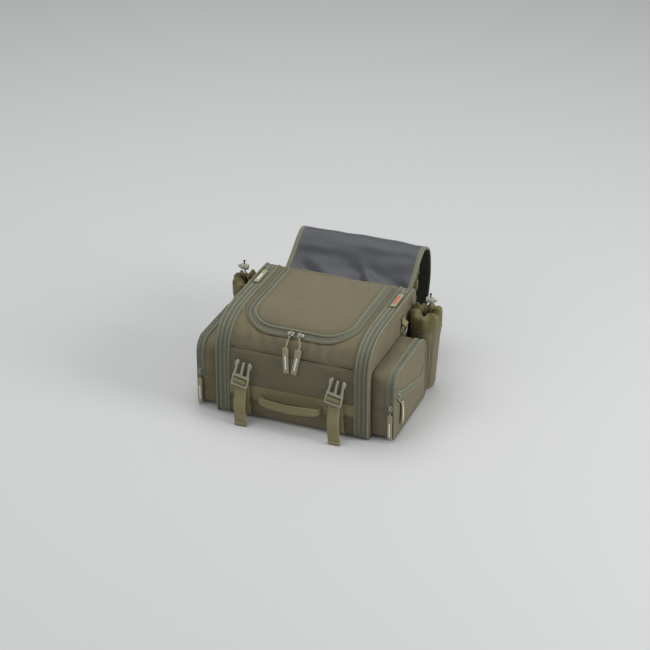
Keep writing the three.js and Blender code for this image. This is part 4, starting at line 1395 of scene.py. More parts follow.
class TAILBAG_OT_buckles(bpy.types.Operator):
    """Make the side-release buckles, male on the front straps and female on the flap's hem"""
    bl_idname = "tailbag.buckles"
    bl_label = "Buckles"

    def execute(self, context):
        for side, _ in SIDES:
            self.male(side, JOINTS["buckle_male_%s_tilt" % side]["pos_m"])
            self.female(side, JOINTS["buckle_female_%s_swing" % side]["pos_m"])
        return {"FINISHED"}

    def male(self, side, pivot):
        """Drawn with X across and Y up, then stood up to face the front."""
        plastic = plastic_material()
        outline = [(-17.3, -10.5), (-15.5, -12.4), (15.5, -12.4), (17.3, -10.5), (17.3, 12), (15, 13.6),
                   (-15, 13.6), (-17.3, 12)]
        slots = [[(-13.7, low), (13.7, low), (13.7, high), (-13.7, high)]
                 for low, high in ((-7.6, -1.6), (1.6, 8.2))]
        pieces = [extruded("male_frame_" + side, outline, 4.2 * MM, plastic, bevel=0.7 * MM, holes=slots)]
        arm = [(11.6, 11.5), (16.6, 11.5), (15.2, 24), (15.0, 30), (17.2, 36), (16.9, 40), (15.4, 43),
               (13.2, 45),
               (11.0, 45.3), (9.8, 43), (10.2, 36), (10.8, 30), (11.0, 20)]
        for sign in (-1, 1):
            points = [(sign * a, b) for a, b in arm]
            pieces.append(extruded("male_prong_%s_%d" % (side, sign + 1), points, 4.0 * MM, plastic,
                                   bevel=0.6 * MM))
        guide = [(-3.0, 11.5), (3.0, 11.5), (2.5, 30), (2.1, 42), (1.0, 43.2), (-1.0, 43.2), (-2.1, 42),
                 (-2.5, 30)]
        pieces.append(extruded("male_guide_" + side, guide, 3.0 * MM, plastic, bevel=0.5 * MM))
        whole = outward(smooth_by_angle(joined("buckle_male_body_" + side, pieces)))
        place = Matrix.Translation(Vector(pivot) + Vector((BUCKLE_SHIFT, 0, 0)))
        moved(whole, place @ Matrix.Rotation(BUCKLE_LEAN, 4, "Y") @ Matrix.Rotation(math.pi / 2, 4, "X"))
        finish_piece(whole, "buckle_male_" + side, "buckle_plastic", "buckle_male_" + side)

    def female(self, side, pivot):
        plastic = plastic_material()
        shell = [(-16.3, -8.5), (-14.5, -7.2), (14.5, -7.2), (16.3, -8.5), (16.4, -14), (14.2, -18),
                 (13.6, -23),
                 (14.4, -28), (16.2, -32), (15.2, -35), (6, -34.2), (0, -33.6), (-6, -34.2), (-15.2, -35),
                 (-16.2, -32),
                 (-14.4, -28), (-13.6, -23), (-14.2, -18), (-16.4, -14)]
        pieces = []
        for name, offset in (("front", 4.0), ("rear", -4.0)):
            face = extruded("female_%s_%s" % (name, side), shell, 2.4 * MM, plastic, bevel=0.8 * MM)
            face.data.transform(Matrix.Translation((0, 0, offset * MM)))
            pieces.append(face)
        for sign in (-1, 1):
            pieces.append(box_piece("female_wall_%s_%d" % (side, sign + 1),
                                    (sign * 14.6 * MM - 1.5 * MM, -17 * MM, -4.4 * MM),
                                    (sign * 14.6 * MM + 1.5 * MM, -7.6 * MM, 4.4 * MM), plastic, 0.6 * MM))
        pieces.append(box_piece("female_stop_" + side, (-14 * MM, -10.6 * MM, -4.2 * MM),
                                (14 * MM, -7.6 * MM, 4.2 * MM),
                                plastic, 0.5 * MM))
        bar = np.array([(-14.5, 0, 0), (-5, 0, 0), (5, 0, 0), (14.5, 0, 0)]) * MM
        pieces.append(tube("female_bar_" + side, bar, 2.1 * MM, [plastic], sides=14))
        for sign in (-1, 1):
            pieces.append(box_piece("female_cheek_%s_%d" % (side, sign + 1),
                                    (sign * 15.2 * MM - 1.3 * MM, -9 * MM, -3.0 * MM),
                                    (sign * 15.2 * MM + 1.3 * MM, 2.4 * MM, 3.0 * MM), plastic, 0.8 * MM))
        whole = outward(smooth_by_angle(joined("buckle_female_body_" + side, pieces)))
        moved(whole, Matrix.Translation(pivot) @ Matrix.Rotation(math.pi / 2, 4, "X"))
        finish_piece(whole, "buckle_female_" + side, "buckle_plastic", "buckle_female_" + side)


class TAILBAG_OT_grab_handle(bpy.types.Operator):
    """Make the folded webbing handle on the front"""
    bl_idname = "tailbag.grab_handle"
    bl_label = "Grab Handle"

    def execute(self, context):
        front = FRONT / MM
        end = [(-57, 3.0, 0), (-61, 5.5, 0), (-63, 10.5, 0), (-58, 17, 0), (-42, 21.5, 0), (-20, 23.5, -1)]
        route = end + [(0, 24, -1.5)] + [(-x, y, z) for x, y, z in end[::-1]]
        height = JOINTS["grab_handle_hinge"]["pos_m"][2]
        path = smoothed([(x * MM, (front - y) * MM, height + z * MM) for x, y, z in route], 130)
        normals = unit(np.cross(tangents(path), [0.0, 0.0, 1.0]))
        if normals[65][1] > 0:
            normals = -normals
        columns = 22
        angles = np.linspace(0, 2 * math.pi, columns, endpoint=False)
        x = np.abs(path[:, 0]) / MM
        near_bag = np.clip(12 - (FRONT - path[:, 1]) / MM, 0, 12)
        half = np.interp(x + near_bag, [0, 42, 58, 66, 70], [9.4, 9.2, 8.0, 5.0, 4.0]) * MM
        thick = np.interp(x, [0, 42, 55, 63], [1.7, 1.7, 1.5, 1.3]) * MM
        profile_a = np.sign(np.cos(angles)) * np.abs(np.cos(angles))**0.35
        profile_b = np.sign(np.sin(angles)) * np.abs(np.sin(angles))**0.7
        points = (path[:, None] + np.array([0, 0, 1.0]) * (half[:, None] * profile_a)[..., None]
                  + normals[:, None] * (thick[:, None] * profile_b)[..., None])
        band = grid_object("grab_handle_cloth", points, [webbing_material()], closed_columns=True)
        finish_piece(capped(band, columns), "grab_handle", "webbing", "grab_handle")
        inner = path[x < 46]
        inner_normals = normals[x < 46]
        for name, rise in (("low", -7.4 * MM), ("high", 7.4 * MM)):
            line = inner + [0, 0, rise] + inner_normals * 1.75 * MM
            finish_piece(stitches("stitches_handle_" + name, line, inner_normals), "grab_handle", "webbing")
        for sign in (-1, 1):
            low = np.array([sign * 72 * MM - 9 * MM, FRONT - 3.6 * MM, height - 8 * MM])
            high = np.array([sign * 72 * MM + 9 * MM, FRONT - 1.5 * MM, height + 8 * MM])
            patch = box_piece("handle_patch_%s" % ("left" if sign < 0 else "right"), low, high,
                              webbing_material(), 0.7 * MM)
            finish_piece(patch, "bag", "webbing")
        return {"FINISHED"}


FLAP_ROUTE = [(133.2, 148.4), (137, 150), (150, 160.5), (166.5, 172.5), (195.5, 191), (224.5, 213),
              (240, 222), (252.5, 226.5),
              (267.5, 224), (280.5, 215), (288.5, 201), (292.5, 181), (292.5, 151), (287.5, 128),
              (280.5, 107), (270, 80),
              (255.4, 50)]
FLAP_PARTS = ("root", "rise", "crown", "drop", "end")
FLAP_CUTS = [(165, 169), (225, 211), (280, 216), (292, 153)]


class TAILBAG_OT_flap(bpy.types.Operator):
    """Make the cargo flap in five joined parts, each bent across one fold"""
    bl_idname = "tailbag.flap"
    bl_label = "Cargo Flap"

    def execute(self, context):
        line = smoothed(np.array(FLAP_ROUTE) * MM, 241)
        cuts = [0]
        for y, z in FLAP_CUTS:
            cuts.append(int(np.argmin(np.hypot(line[:, 0] - y * MM, line[:, 1] - z * MM))))
        cuts.append(len(line) - 1)
        t = tangents(line)
        path = np.column_stack([np.zeros(len(line)), line])
        lined = np.column_stack([np.zeros(len(line)), -t[:, 1], t[:, 0]])
        points, face_materials = self.surface(path, lined)
        reach = np.linspace(0, 1, len(line))
        for i, name in enumerate(FLAP_PARTS):
            first, last = cuts[i], cuts[i + 1] + 1
            edge = flap_material() if name in ("drop", "end") else binding_material()
            materials = [flap_material(), lining_material(), edge]
            cloth = grid_object("flap_cloth_" + name, points[first:last], materials, closed_columns=True,
                                face_materials=np.tile(face_materials, last - first - 1))
            pieces = [cloth, *self.trim(name, path[first:last], lined[first:last], reach[first:last])]
            if name == "end":
                pieces += self.hem(path[first:last], lined[first:last])
            whole = joined("flap_" + name + "_sheet", pieces)
            whole.data.polygons.foreach_set("use_smooth", [True] * len(whole.data.polygons))
            outward(whole)
            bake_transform(whole)
            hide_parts("flap_panel_" + name)
        return {"FINISHED"}

    def surface(self, path, lined):
        """A closed loop across the flap at each step, with lining, cloth and bound edges."""
        half, thick, bind = 137 * MM, 2.0 * MM, 9 * MM
        inner = np.concatenate([np.linspace(-half + 2 * MM, -half + bind, 3),
                                np.linspace(-half + bind, half - bind, 44)[1:-1],
                                np.linspace(half - bind, half - 2 * MM, 3)])
        x = np.concatenate([inner, [half - 0.4 * MM, half], [half, half - 0.4 * MM], inner[::-1],
                            [-half + 0.4 * MM, -half],
                            [-half, -half + 0.4 * MM]])
        side = np.concatenate([np.ones(len(inner)), [0.8, 0.3], [-0.3, -0.8], -np.ones(len(inner)),
                               [-0.8, -0.3],
                               [0.3, 0.8]])
        share = np.linspace(0, 1, len(path))[:, None]
        bow = 1 - (x[None] / half)**2
        points = path[:, None] + np.zeros((1, len(x), 1))
        points[..., 0] = x[None] * (1 - 0.012 * np.sin(math.pi * share))
        flat = np.stack([points[..., 0], share * 0.36 + 0 * points[..., 0]], -1)
        wander = (ripple(flat, 0.085, 41) * 1.5 + ripple(flat * [0.6, 1.6], 0.035, 42) * 0.55) * MM
        slack = bump_at(share, 0.13, 0.11)
        folds = np.sin(x[None] * 75 + share * 26 + 1.4 * ripple(flat, 0.10, 43)) * 3.2 * MM * slack
        free = np.clip(bow * 3, 0, 1) * np.clip(share * 12, 0, 1)
        wander = (wander + folds - 4.0 * MM * bump_at(share, 0.17, 0.14)) * free
        raised = np.where(np.abs(x) > half - bind, 0.5 * MM, 0.0)
        sag = 2.2 * MM * bow * np.sin(math.pi * np.clip(share * 1.1, 0, 1))
        lift = side[None] * (thick + raised[None]) + wander + sag
        points = points + lined[:, None] * lift[..., None]
        next_x = (x + np.roll(x, -1)) / 2
        next_side = side + np.roll(side, -1)
        kinds = np.where(np.abs(next_x) > half - bind - 0.2 * MM, 2, np.where(next_side > 0, 1, 0))
        return points, kinds

    def trim(self, name, path, lined, reach):
        """Webbing rows on the outer face, sewn down at even steps, and the straps' runs to the buckles."""
        pieces = []
        step = np.linalg.norm(np.diff(path, axis=0), axis=1)
        along = np.concatenate([[0], np.cumsum(step)])
        rows = {"root": (), "rise": (0.55,), "crown": (0.35, 0.8), "drop": (0.3, 0.62, 0.9),
                "end": (0.25, 0.55)}[name]
        sunk = 7.0 * MM * bump_at(reach, 0.16, 0.15)
        for k, share in enumerate(rows):
            at = int(np.argmin(np.abs(along - share * along[-1])))
            x = np.linspace(-112 * MM, 112 * MM, 64)
            arched = 1.2 * MM * np.abs(np.sin(x * math.pi / (37.4 * MM)))
            middle = path[at] + np.zeros((64, 3)) - lined[at] * (1.2 * MM + sunk[at])
            middle[:, 0] = x
            middle = middle - lined[at] * (2.0 * MM + arched)[:, None]
            normals = np.tile(-lined[at], (64, 1))
            pieces.append(swept("row_%s_%d" % (name, k), middle, normals,
                                band_profile(-10 * MM, 10 * MM, 0, 1.3 * MM), [webbing_material()]))
        for side, sign in SIDES:
            run = path + [sign * STRAP_X, 0, 0] - lined * (2.4 * MM + sunk)[:, None]
            band = swept("run_" + side, run, -lined, band_profile(-12.5 * MM, 12.5 * MM, 0, 1.3 * MM),
                         [webbing_material()], caps=name in ("root", "end"))
            pieces.append(band)
        return pieces

    def hem(self, path, lined):
        """The hem's binding and the two webbing loops round the buckles' bars."""
        end, normal = path[-1], lined[-1]
        down = unit(path[-1] - path[-3])
        edge = end + np.zeros((60, 3)) + down * 0.5 * MM
        edge[:, 0] = np.linspace(-136 * MM, 136 * MM, 60)
        pieces = [swept("hem_binding", edge, np.tile(down, (60, 1)), round_profile(3.2 * MM, 12, 0.9),
                        [binding_material()])]
        bar = np.array([0, *JOINTS["buckle_female_left_swing"]["pos_m"][1:]])
        for side, sign in SIDES:
            centre = bar + [sign * STRAP_X, 0, 0]
            up = -down
            first = [centre + up * 22 * MM + normal * 2.6 * MM, centre + up * 10 * MM + normal * 3.4 * MM]
            loop = [centre + up * 3.7 * MM * math.cos(a) + normal * 3.7 * MM * math.sin(a)
                    for a in np.radians(np.linspace(75, 285, 16))]
            last = [centre + up * 10 * MM - normal * 3.4 * MM, centre + up * 22 * MM - normal * 3.0 * MM]
            pieces.append(strip("loop_" + side, first + loop + last, (1, 0, 0), 12.5 * MM, 1.4 * MM,
                                webbing_material(),
                                count=44))
        return pieces


def pocket_outline(inset=0.0, count=240, corner=28 * MM):
    """The side pocket's outline in (y, z), evenly spaced."""
    y0, y1 = POCKET_LOW.y + inset, POCKET_HIGH.y - inset
    z0, z1 = POCKET_LOW.z + inset, POCKET_HIGH.z - inset
    front, rear, foot = corner - inset, 38 * MM - inset, 10 * MM
    line = np.vstack([
        arc_points((y0 + foot, z0 + foot), (foot, foot), 270, 180, 8),
        arc_points((y0 + front, z1 - front), (front, front), 180, 90, 16),
        arc_points((y1 - rear, z1 - rear), (rear, rear), 90, 0, 18),
        arc_points((y1 - foot, z0 + foot), (foot, foot), 0, -90, 8),
    ])
    return resampled(line, count, closed=True)


def pocket_face(y, z):
    """How far the pocket's outer face stands out at a place, in x."""
    u = (y - (POCKET_LOW.y + POCKET_HIGH.y) / 2) / ((POCKET_HIGH.y - POCKET_LOW.y) / 2)
    v = (z - (POCKET_LOW.z + POCKET_HIGH.z) / 2) / ((POCKET_HIGH.z - POCKET_LOW.z) / 2)
    crown = np.clip(1 - u**4, 0, 1) * np.clip(1 - v**4, 0, 1)
    place = np.stack([y, z], -1)
    wander = (ripple(place, 0.060, 51) * 0.8 + ripple(place, 0.028, 52) * 0.25) * np.clip(crown * 2, 0, 1)
    return POCKET_HIGH.x - 1.5 * MM + (3.2 * crown + wander) * MM


def cut_above(piece, height, above):
    """Keeps what is above or below a level."""
    with edited(piece.data) as bm:
        geometry = [*bm.verts, *bm.edges, *bm.faces]
        bmesh.ops.bisect_plane(bm, geom=geometry, dist=1e-6, plane_co=(0, 0, height), plane_no=(0, 0, 1),
                               clear_inner=above, clear_outer=not above)
    return piece


MAIN_ZIP_X = 198 * MM
ZIP_FOOT = 66 * MM
FLAT_ZIP = [(-113, 106), (-103.5, 97.5), (-74, 87), (-39.5, 78), (-8, 69.5), (20.5, 63), (40, 66),
            (55.5, 69)]


class TAILBAG_OT_side_pockets(bpy.types.Operator):
    """Make the side pockets with their doors and zippers"""
    bl_idname = "tailbag.side_pockets"
    bl_label = "Side Pockets"

    def execute(self, context):
        size = sizes()
        for side, sign in SIDES:
            self.walls(side, sign)
            self.edge_trim(side, sign, size)
            self.flat_zip(side, sign, size)
        return {"FINISHED"}

    def walls(self, side, sign):
        fabric, lining = fabric_material(), lining_material()
        outline = pocket_outline()
        t = tangents(outline, True)
        normals = np.stack([-t[:, 1], t[:, 0]], 1)
        columns = 22
        x = np.linspace(SIDE_OUTER + 0.4 * MM, POCKET_HIGH.x - 1.6 * MM, columns)
        points = np.empty((len(outline), columns, 3))
        points[..., 0] = sign * x
        for k, share in enumerate(np.linspace(0, 1, columns)):
            points[:, k, 1:] = pocket_outline(corner=(13 + 15 * smooth_step(share * 1.3)) * MM)
        out = np.zeros_like(points)
        out[..., 1:] = normals[:, None]
        across = (x - x[0]) / (x[-1] - x[0])
        swell = np.sin(math.pi * across)**0.6
        foot = smooth_step((points[..., 2] - 8 * MM) / (15 * MM))
        wander = ripple(points * [1.5, 1, 1], 0.055, 61) * 0.8 + ripple(points * [0.7, 1, 2], 0.03,
                                                                        62) * 0.35
        on_front = smooth_step((-out[..., 1] - 0.5) / 0.4)
        seam = 1.6 * bump_at(points[..., 2], 70 * MM, 3 * MM) * on_front
        near_zip = smooth_step((x - 186 * MM) / (5 * MM))
        lift = (swell * (1.6 + wander) * (1 - near_zip) - seam * (1 - near_zip)) * foot
        points = points + out * (lift * MM)[..., None]
        wall = grid_object("pocket_wall_" + side, points, [fabric, lining], closed_rows=True)
        outward_loop(wall, (points[..., 1:].mean((0, 1))))
        wall = thickened(wall, 2 * MM, inner_material=1)

        def surface(loop, share):
            return sign * pocket_face(loop[:, 0], loop[:, 1])

        outline = pocket_outline(0.8 * MM)
        for name, above, body, node_name in (("face", False, "side_" + side, "pocket_shell_" + side),
                                             ("door", True, "pocket_door_" + side, "pocket_door_" + side)):
            face = ring_sheet("pocket_%s_cloth_%s" % (name, side), outline, surface, [fabric, lining],
                              rings=26)
            facing(face, (sign, 0, 0))
            face = cut_above(face, DOOR_FOLD, above)
            face = thickened(face, 2 * MM, inner_material=1)
            if above:
                finish_piece(face, body, "shell_fabric", node_name)
            else:
                whole = joined("pocket_body_" + side, [wall, face])
                finish_piece(whole, body, "shell_fabric", node_name)
        across = sign * np.linspace(SIDE_OUTER + 4 * MM, 188 * MM, 14)
        line = np.column_stack([across, np.full(14, POCKET_LOW.y - 1.0 * MM), np.full(14, 74 * MM)])
        seam = stitches("stitches_pocket_front_" + side, line, np.tile([0.0, -1.0, 0.0], (14, 1)),
                        lift=0.4 * MM)
        finish_piece(seam, "side_" + side, "shell_fabric")

    def edge_trim(self, side, sign, size):
        """The main zipper up the front edge and over the top, and piping round the outer face."""
        outline = pocket_outline(0, 400)
        t = tangents(outline, True)
        normals = np.stack([np.zeros(400), -t[:, 1], t[:, 0]], 1)
        path = np.column_stack([np.full(400, sign * MAIN_ZIP_X), outline])
        front_start = int(np.argmin(np.hypot(outline[:, 0] - POCKET_LOW.y, outline[:, 1] - ZIP_FOOT)))
        rear_end = int(np.argmin(np.hypot(outline[:, 0] - POCKET_HIGH.y, outline[:, 1] - 112 * MM)))
        run = np.arange(front_start, rear_end)
        path_run, normals_run = path[run], normals[run]
        sideways = np.cross(tangents(path_run), normals_run)[0][0] * sign
        half = 1 if sideways > 0 else -1
        inner = band_profile(*sorted((-half * 7 * MM, -half * 0.5 * MM)), 0, size.tape_thickness)
        outer = band_profile(*sorted((half * 0.5 * MM, half * 5.6 * MM)), 0, size.tape_thickness)
        lift = normals_run * 0.3 * MM
        tape = swept("pocket_tape_inner_" + side, path_run + lift, normals_run, inner, [tape_material()])
        sewn(tape, "side_" + side)
        coil = teeth("pocket_teeth_inner_" + side, path_run + lift, normals_run, -half)
        sewn(coil, "side_" + side)
        on_door = path_run[:, 2] >= DOOR_FOLD - 0.5 * MM
        split = int(np.argmax(on_door))
        for name, low, high, body in (("face", 0, split + 1, "side_" + side),
                                      ("door", split, None, "pocket_door_" + side)):
            part, out = path_run[low:high] + lift[low:high], normals_run[low:high]
            sewn(swept("pocket_tape_%s_%s" % (name, side), part, out, outer, [tape_material()]), body)
            sewn(teeth("pocket_teeth_%s_%s" % (name, side), part, out, half), body)
        edge = pocket_outline(0.4 * MM, 400)
        ring = np.column_stack([np.full(400, sign * (POCKET_HIGH.x - 1.2 * MM)), edge]) + normals * 0.6 * MM
        high = ring[:, 2] >= DOOR_FOLD
        above = ring[high]
        below = np.roll(ring, -int(np.nonzero(high)[0][-1]), 0)
        below = np.vstack([above[-1:], below[below[:, 2] < DOOR_FOLD], above[:1]])
        out = normals[np.nonzero(high)[0]]
        sewn(swept("pocket_piping_door_" + side, above, out, round_profile(size.piping_radius * 0.9),
                   [piping_material()]), "pocket_door_" + side)
        sewn(tube("pocket_piping_face_" + side, below, size.piping_radius * 0.9, [piping_material()]),
             "side_" + side)
        inner_ring = path_run + normals_run * 0.9 * MM
        inner_ring[:, 0] -= sign * 8.2 * MM
        sewn(tube("pocket_piping_inner_" + side, inner_ring, size.piping_radius * 0.75, [piping_material()]),
             "side_" + side)

    def flat_zip(self, side, sign, size):
        line = smoothed(np.array(FLAT_ZIP) * MM, 110)
        x = pocket_face(line[:, 0], line[:, 1])
        path = np.column_stack([sign * (x + 0.2 * MM), line])
        normals = np.tile([float(sign), 0.0, 0.0], (len(path), 1))
        body = "side_" + side
        tape = swept("flat_tape_" + side, path, normals,
                     band_profile(-6.5 * MM, 6.5 * MM, 0, size.tape_thickness, middle=6),
                     [tape_material()])
        sewn(tape, body)
        for name, half in (("low", -1), ("high", 1)):
            sewn(teeth("flat_teeth_%s_%s" % (name, side), path, normals, half), body)
            edge = shifted(path, normals, half * 7.0 * MM, 0.6 * MM)
            sewn(swept("flat_piping_%s_%s" % (name, side), edge, normals, round_profile(1.5 * MM),
                       [piping_material()]), body)


def outward_loop(piece, middle):
    """Turns the faces of a loop of wall away from its middle line."""
    mesh = piece.data
    total = 0.0
    for face in mesh.polygons:
        offset = face.center.yz - Vector(middle)
        total += offset.dot(face.normal.yz) * face.area
    if total < 0:
        mesh.flip_normals()
    return piece


HOLDER_Y = 105.5 * MM
HOLDER_DEEPER = 1.08


def holder_lean(z):
    """How far out the holder's middle line stands at a height."""
    return 184.5 * MM + np.clip((z - 3 * MM) / (137 * MM), 0, 1) * 5.5 * MM


def holder_radius(z):
    return (25.5 + (z / MM - 3) / 137 * 5.3) * MM


def holder_ring(z, radius, count=96, gather=0.0, pleats=0):
    """A ring of the leaning holder, flattened where it is sewn to the side panel."""
    angles = np.linspace(0, 2 * math.pi, count, endpoint=False)
    folds = np.cos(pleats * angles + 0.8 * np.sin(3 * angles))
    r = radius * (1 + gather * folds)
    x = np.maximum(holder_lean(z) + r * np.cos(angles), SIDE_OUTER + 0.5 * MM)
    return np.stack([x, HOLDER_Y + HOLDER_DEEPER * r * np.sin(angles), z + np.zeros(count)], 1), angles


class TAILBAG_OT_bottle_holders(bpy.types.Operator):
    """Make the bottle holders with their gathered collars, drawcords and cord locks"""
    bl_idname = "tailbag.bottle_holders"
    bl_label = "Bottle Holders"

    def execute(self, context):
        for side, sign in SIDES:
            self.pocket(side, sign)
            self.collar(side, sign)
            self.lock(side, sign)
        return {"FINISHED"}

    def pocket(self, side, sign):
        corner = 7 * MM
        rows = [(3.2 * MM, 0.2 * MM), (3.2 * MM, 8 * MM), (3.2 * MM, 16 * MM)]
        for a in np.linspace(0, math.pi / 2, 6):
            rows.append((3.2 * MM + corner * (1 - math.cos(a)), 18.5 * MM + corner * math.sin(a)))
        for z in np.linspace(12 * MM, 140 * MM, 46):
            rows.append((z, holder_radius(z)))
        rings = np.array([holder_ring(z, r)[0] for z, r in rows])
        angles = holder_ring(10 * MM, 20 * MM)[1]
        out = np.stack([np.cos(angles), np.sin(angles), 0 * angles], 1)
        wander = ripple(rings * [1, 1, 1.3], 0.05, 71) * 0.7 + ripple(rings * [1, 1, 2.4], 0.03, 72) * 0.35
        low = smooth_step((rings[..., 2] - 8 * MM) / (10 * MM)) * smooth_step((139 * MM
                                                                               - rings[..., 2]) / (5 * MM))
        free = rings[..., 0] > SIDE_OUTER + 1.5 * MM
        groove = 1.0 * bump_at(angles, 1.75 * math.pi, 0.06)[None]
        rings = rings + out[None] * ((wander - groove) * low * free * MM)[..., None]
        rings[..., 0] *= sign
        cloth = grid_object("holder_cloth_" + side, rings, [fabric_material(), lining_material()],
                            closed_columns=True)
        outward_round(cloth, sign)
        cloth = thickened(cloth, 1.6 * MM, inner_material=1)
        finish_piece(cloth, "side_" + side, "shell_fabric", "bottle_holder_" + side)
        top, _ = holder_ring(139.5 * MM, 30.8 * MM)
        top[:, 0] = np.maximum(top[:, 0], SIDE_OUTER + 1.6 * MM) * sign
        finish_piece(tube("holder_binding_" + side, top, 1.3 * MM, [collar_material()], closed=True),
                     "side_" + side,
                     "collar_nylon")
        for k, turn in enumerate((1.71, 1.79)):
            z = np.linspace(14 * MM, 134 * MM, 40)
            r = holder_radius(z) + 0.4 * MM
            a = turn * math.pi
            line = np.column_stack([sign * (holder_lean(z) + r * math.cos(a)),
                                    HOLDER_Y + HOLDER_DEEPER * r * math.sin(a), z])
            normals = np.tile([sign * math.cos(a), math.sin(a), 0.0], (40, 1))
            seam = stitches("stitches_holder_%s_%d" % (side, k), line, normals, lift=0.3 * MM)
            finish_piece(seam, "side_" + side, "shell_fabric")

    def collar(self, side, sign):
        pleats = sizes().collar_pleats
        profile = [(140.2, 31.2, 0.0), (146, 32.0, 0.01), (154, 32.0, 0.02), (161, 31.8, 0.03),
                   (166.5, 31.2, 0.05),
                   (170.5, 29.4, 0.09), (173.0, 26.0, 0.15), (174.2, 21.6, 0.24), (173.4, 17.2, 0.33),
                   (170.4, 13.8, 0.36),
                   (165, 12.0, 0.30), (159, 11.8, 0.20), (153, 12.5, 0.10)]
        line = smoothed(np.array(profile) * [MM, MM, 1], 40)
        rings = []
        for z, r, gather in line:
            ring, angles = holder_ring(z, r, 168, gather, pleats)
            folds = np.cos(pleats * angles + 0.8 * np.sin(3 * angles))
            ring[:, 2] += (folds * 11 + 8 * np.sin(2 * angles + 1) + 14 * np.sin(5 * angles)) * gather * MM
            rings.append(ring)
        rings = np.array(rings)
        rings[..., 0] *= sign
        cloth = grid_object("collar_cloth_" + side, rings, [collar_material()], closed_columns=True)
        outward_round(cloth, sign)
        cloth = thickened(cloth, 0.6 * MM)
        finish_piece(cloth, "side_" + side, "collar_nylon", "holder_collar_" + side)

    def lock(self, side, sign):
        x, z = sign * 198.5 * MM, 197 * MM
        points = smoothed([(x - sign * 6.5 * MM, HOLDER_Y - 1 * MM, 180 * MM),
                           (x - sign * 1.2 * MM, HOLDER_Y, 188 * MM),
                           (x, HOLDER_Y, 197 * MM), (x, HOLDER_Y, 204 * MM), (x, HOLDER_Y, 210 * MM)], 24)
        cord = tube("drawcord_" + side + "_cloth", points, 1.3 * MM, [cord_material()], sides=10)
        knot_lines = []
        for k, turn in enumerate((0.0, 1.1, 2.2)):
            angles = np.linspace(0, 2 * math.pi, 20, endpoint=False)
            ring = np.stack([1.3 * MM * np.cos(angles), 1.3 * MM * np.sin(angles),
                             0.7 * MM * np.sin(angles + turn) + (k - 1) * 0.6 * MM], 1)
            knot_lines.append(tube("knot_%s_%d" % (side, k), ring + [x, HOLDER_Y, 210 * MM], 1.1 * MM,
                                   [cord_material()],
                                   closed=True, sides=8))
        knot = joined("drawcord_knot_" + side, knot_lines)
        finish_piece(cord, "side_" + side, "cord", "drawcord_" + side)
        finish_piece(knot, "side_" + side, "cord")
        self.barrel("cord_lock_cap_" + side, "cord_lock_" + side, x, z,
                    [(-9, 3.8), (-8.2, 5.6), (-6, 6.2), (4, 6.2),
                    (6.2, 5.8), (7.2, 4.6)], sign)
        self.barrel("cord_button_cap_" + side, "cord_button_" + side, x, z,
                    [(7.4, 3.2), (11.6, 3.2), (12.8, 2.4),
                    (13, 1.6)], sign)

    def barrel(self, name, node_name, x, z, profile, sign):
        rows = np.array([(profile[0][0], 0.2), *profile, (profile[-1][0], 0.2)])
        angles = np.linspace(0, 2 * math.pi, 28, endpoint=False)
        points = np.empty((len(rows), 28, 3))
        points[..., 0] = x + sign * rows[:, :1] * MM
        points[..., 1] = HOLDER_Y + rows[:, 1:] * MM * np.cos(angles)
        points[..., 2] = z + rows[:, 1:] * MM * np.sin(angles)
        piece = grid_object(name, points, [lock_material()], closed_columns=True)
        smooth_by_angle(capped(piece, 28), 50)
        finish_piece(piece, node_name, "lock_plastic", node_name)


def outward_round(piece, sign):
    """Turns the faces of a holder's wall away from its upright middle line."""
    middle = Vector((sign * 187.5 * MM, HOLDER_Y))
    total = 0.0
    for face in piece.data.polygons:
        if face.center.z > 160 * MM and abs(face.normal.z) > 0.7:
            continue
        total += (face.center.xy - middle).dot(face.normal.xy) * face.area
    if total < 0:
        piece.data.flip_normals()
    return piece


class TAILBAG_OT_rings(bpy.types.Operator):
    """Make the D-rings and their webbing loops"""
    bl_idname = "tailbag.rings"
    bl_label = "D-Rings"

    def execute(self, context):
        for side, sign in SIDES:
            x, y, z = (value / MM for value in JOINTS["d_ring_%s_swing" % side]["pos_m"])
            lower = [(x, y + 12.4 * math.cos(a), z - 8 + 13 * math.sin(a))
                     for a in np.linspace(math.pi, 2 * math.pi, 16)]
            ring = [(x, y - 12.4, z - 1), (x, y - 11.4, z), (x, y - 9, z), (x, y, z), (x, y + 9, z),
                    (x, y + 11.4, z),
                    (x, y + 12.4, z - 1), *lower[::-1]]
            path = smoothed(np.array(ring) * MM, 90, closed=True)
            wire = tube("d_ring_wire_" + side, path, 1.55 * MM, [metal_material()], closed=True, sides=12)
            finish_piece(wire, "d_ring_" + side, "ring_metal", "d_ring_" + side)
            panel = SIDE_OUTER / MM
            x = abs(x)
            around = [(x + 3.3 * math.cos(a), z + 3.3 * math.sin(a))
                      for a in np.radians(np.linspace(225, 420, 12))]
            route = [(panel + 0.9, z + 16), (panel + 0.9, z + 5), (panel + 1.4, z - 0.6), *around,
                     (panel + 2.4, z + 7), (panel + 2.3, z + 16)]
            route = [(sign * a * MM, y * MM, b * MM) for a, b in route]
            band = strip("ring_loop_cloth_" + side, route, (0, 1, 0), 9.5 * MM, 1.2 * MM,
                         webbing_material(), count=60)
            finish_piece(band, "side_" + side, "webbing", "ring_loop_" + side)
        return {"FINISHED"}


class TAILBAG_OT_base(bpy.types.Operator):
    """Give the base board its finish"""
    bl_idname = "tailbag.base"
    bl_label = "Base Board"

    def execute(self, context):
        board = frame["nodes"]["base_board"]
        if not board.data.materials:
            board.data.materials.append(board_material())
        for slot in board.material_slots:
            slot.material = board_material()
        return {"FINISHED"}


CAMERA_TARGET = (0.0223, -0.0122, 0.1659)
CAMERA_DISTANCE = 4.057
CAMERA_AZIMUTH, CAMERA_ELEVATION = 21.4, 28.6
CAMERA_LENS = 115.4


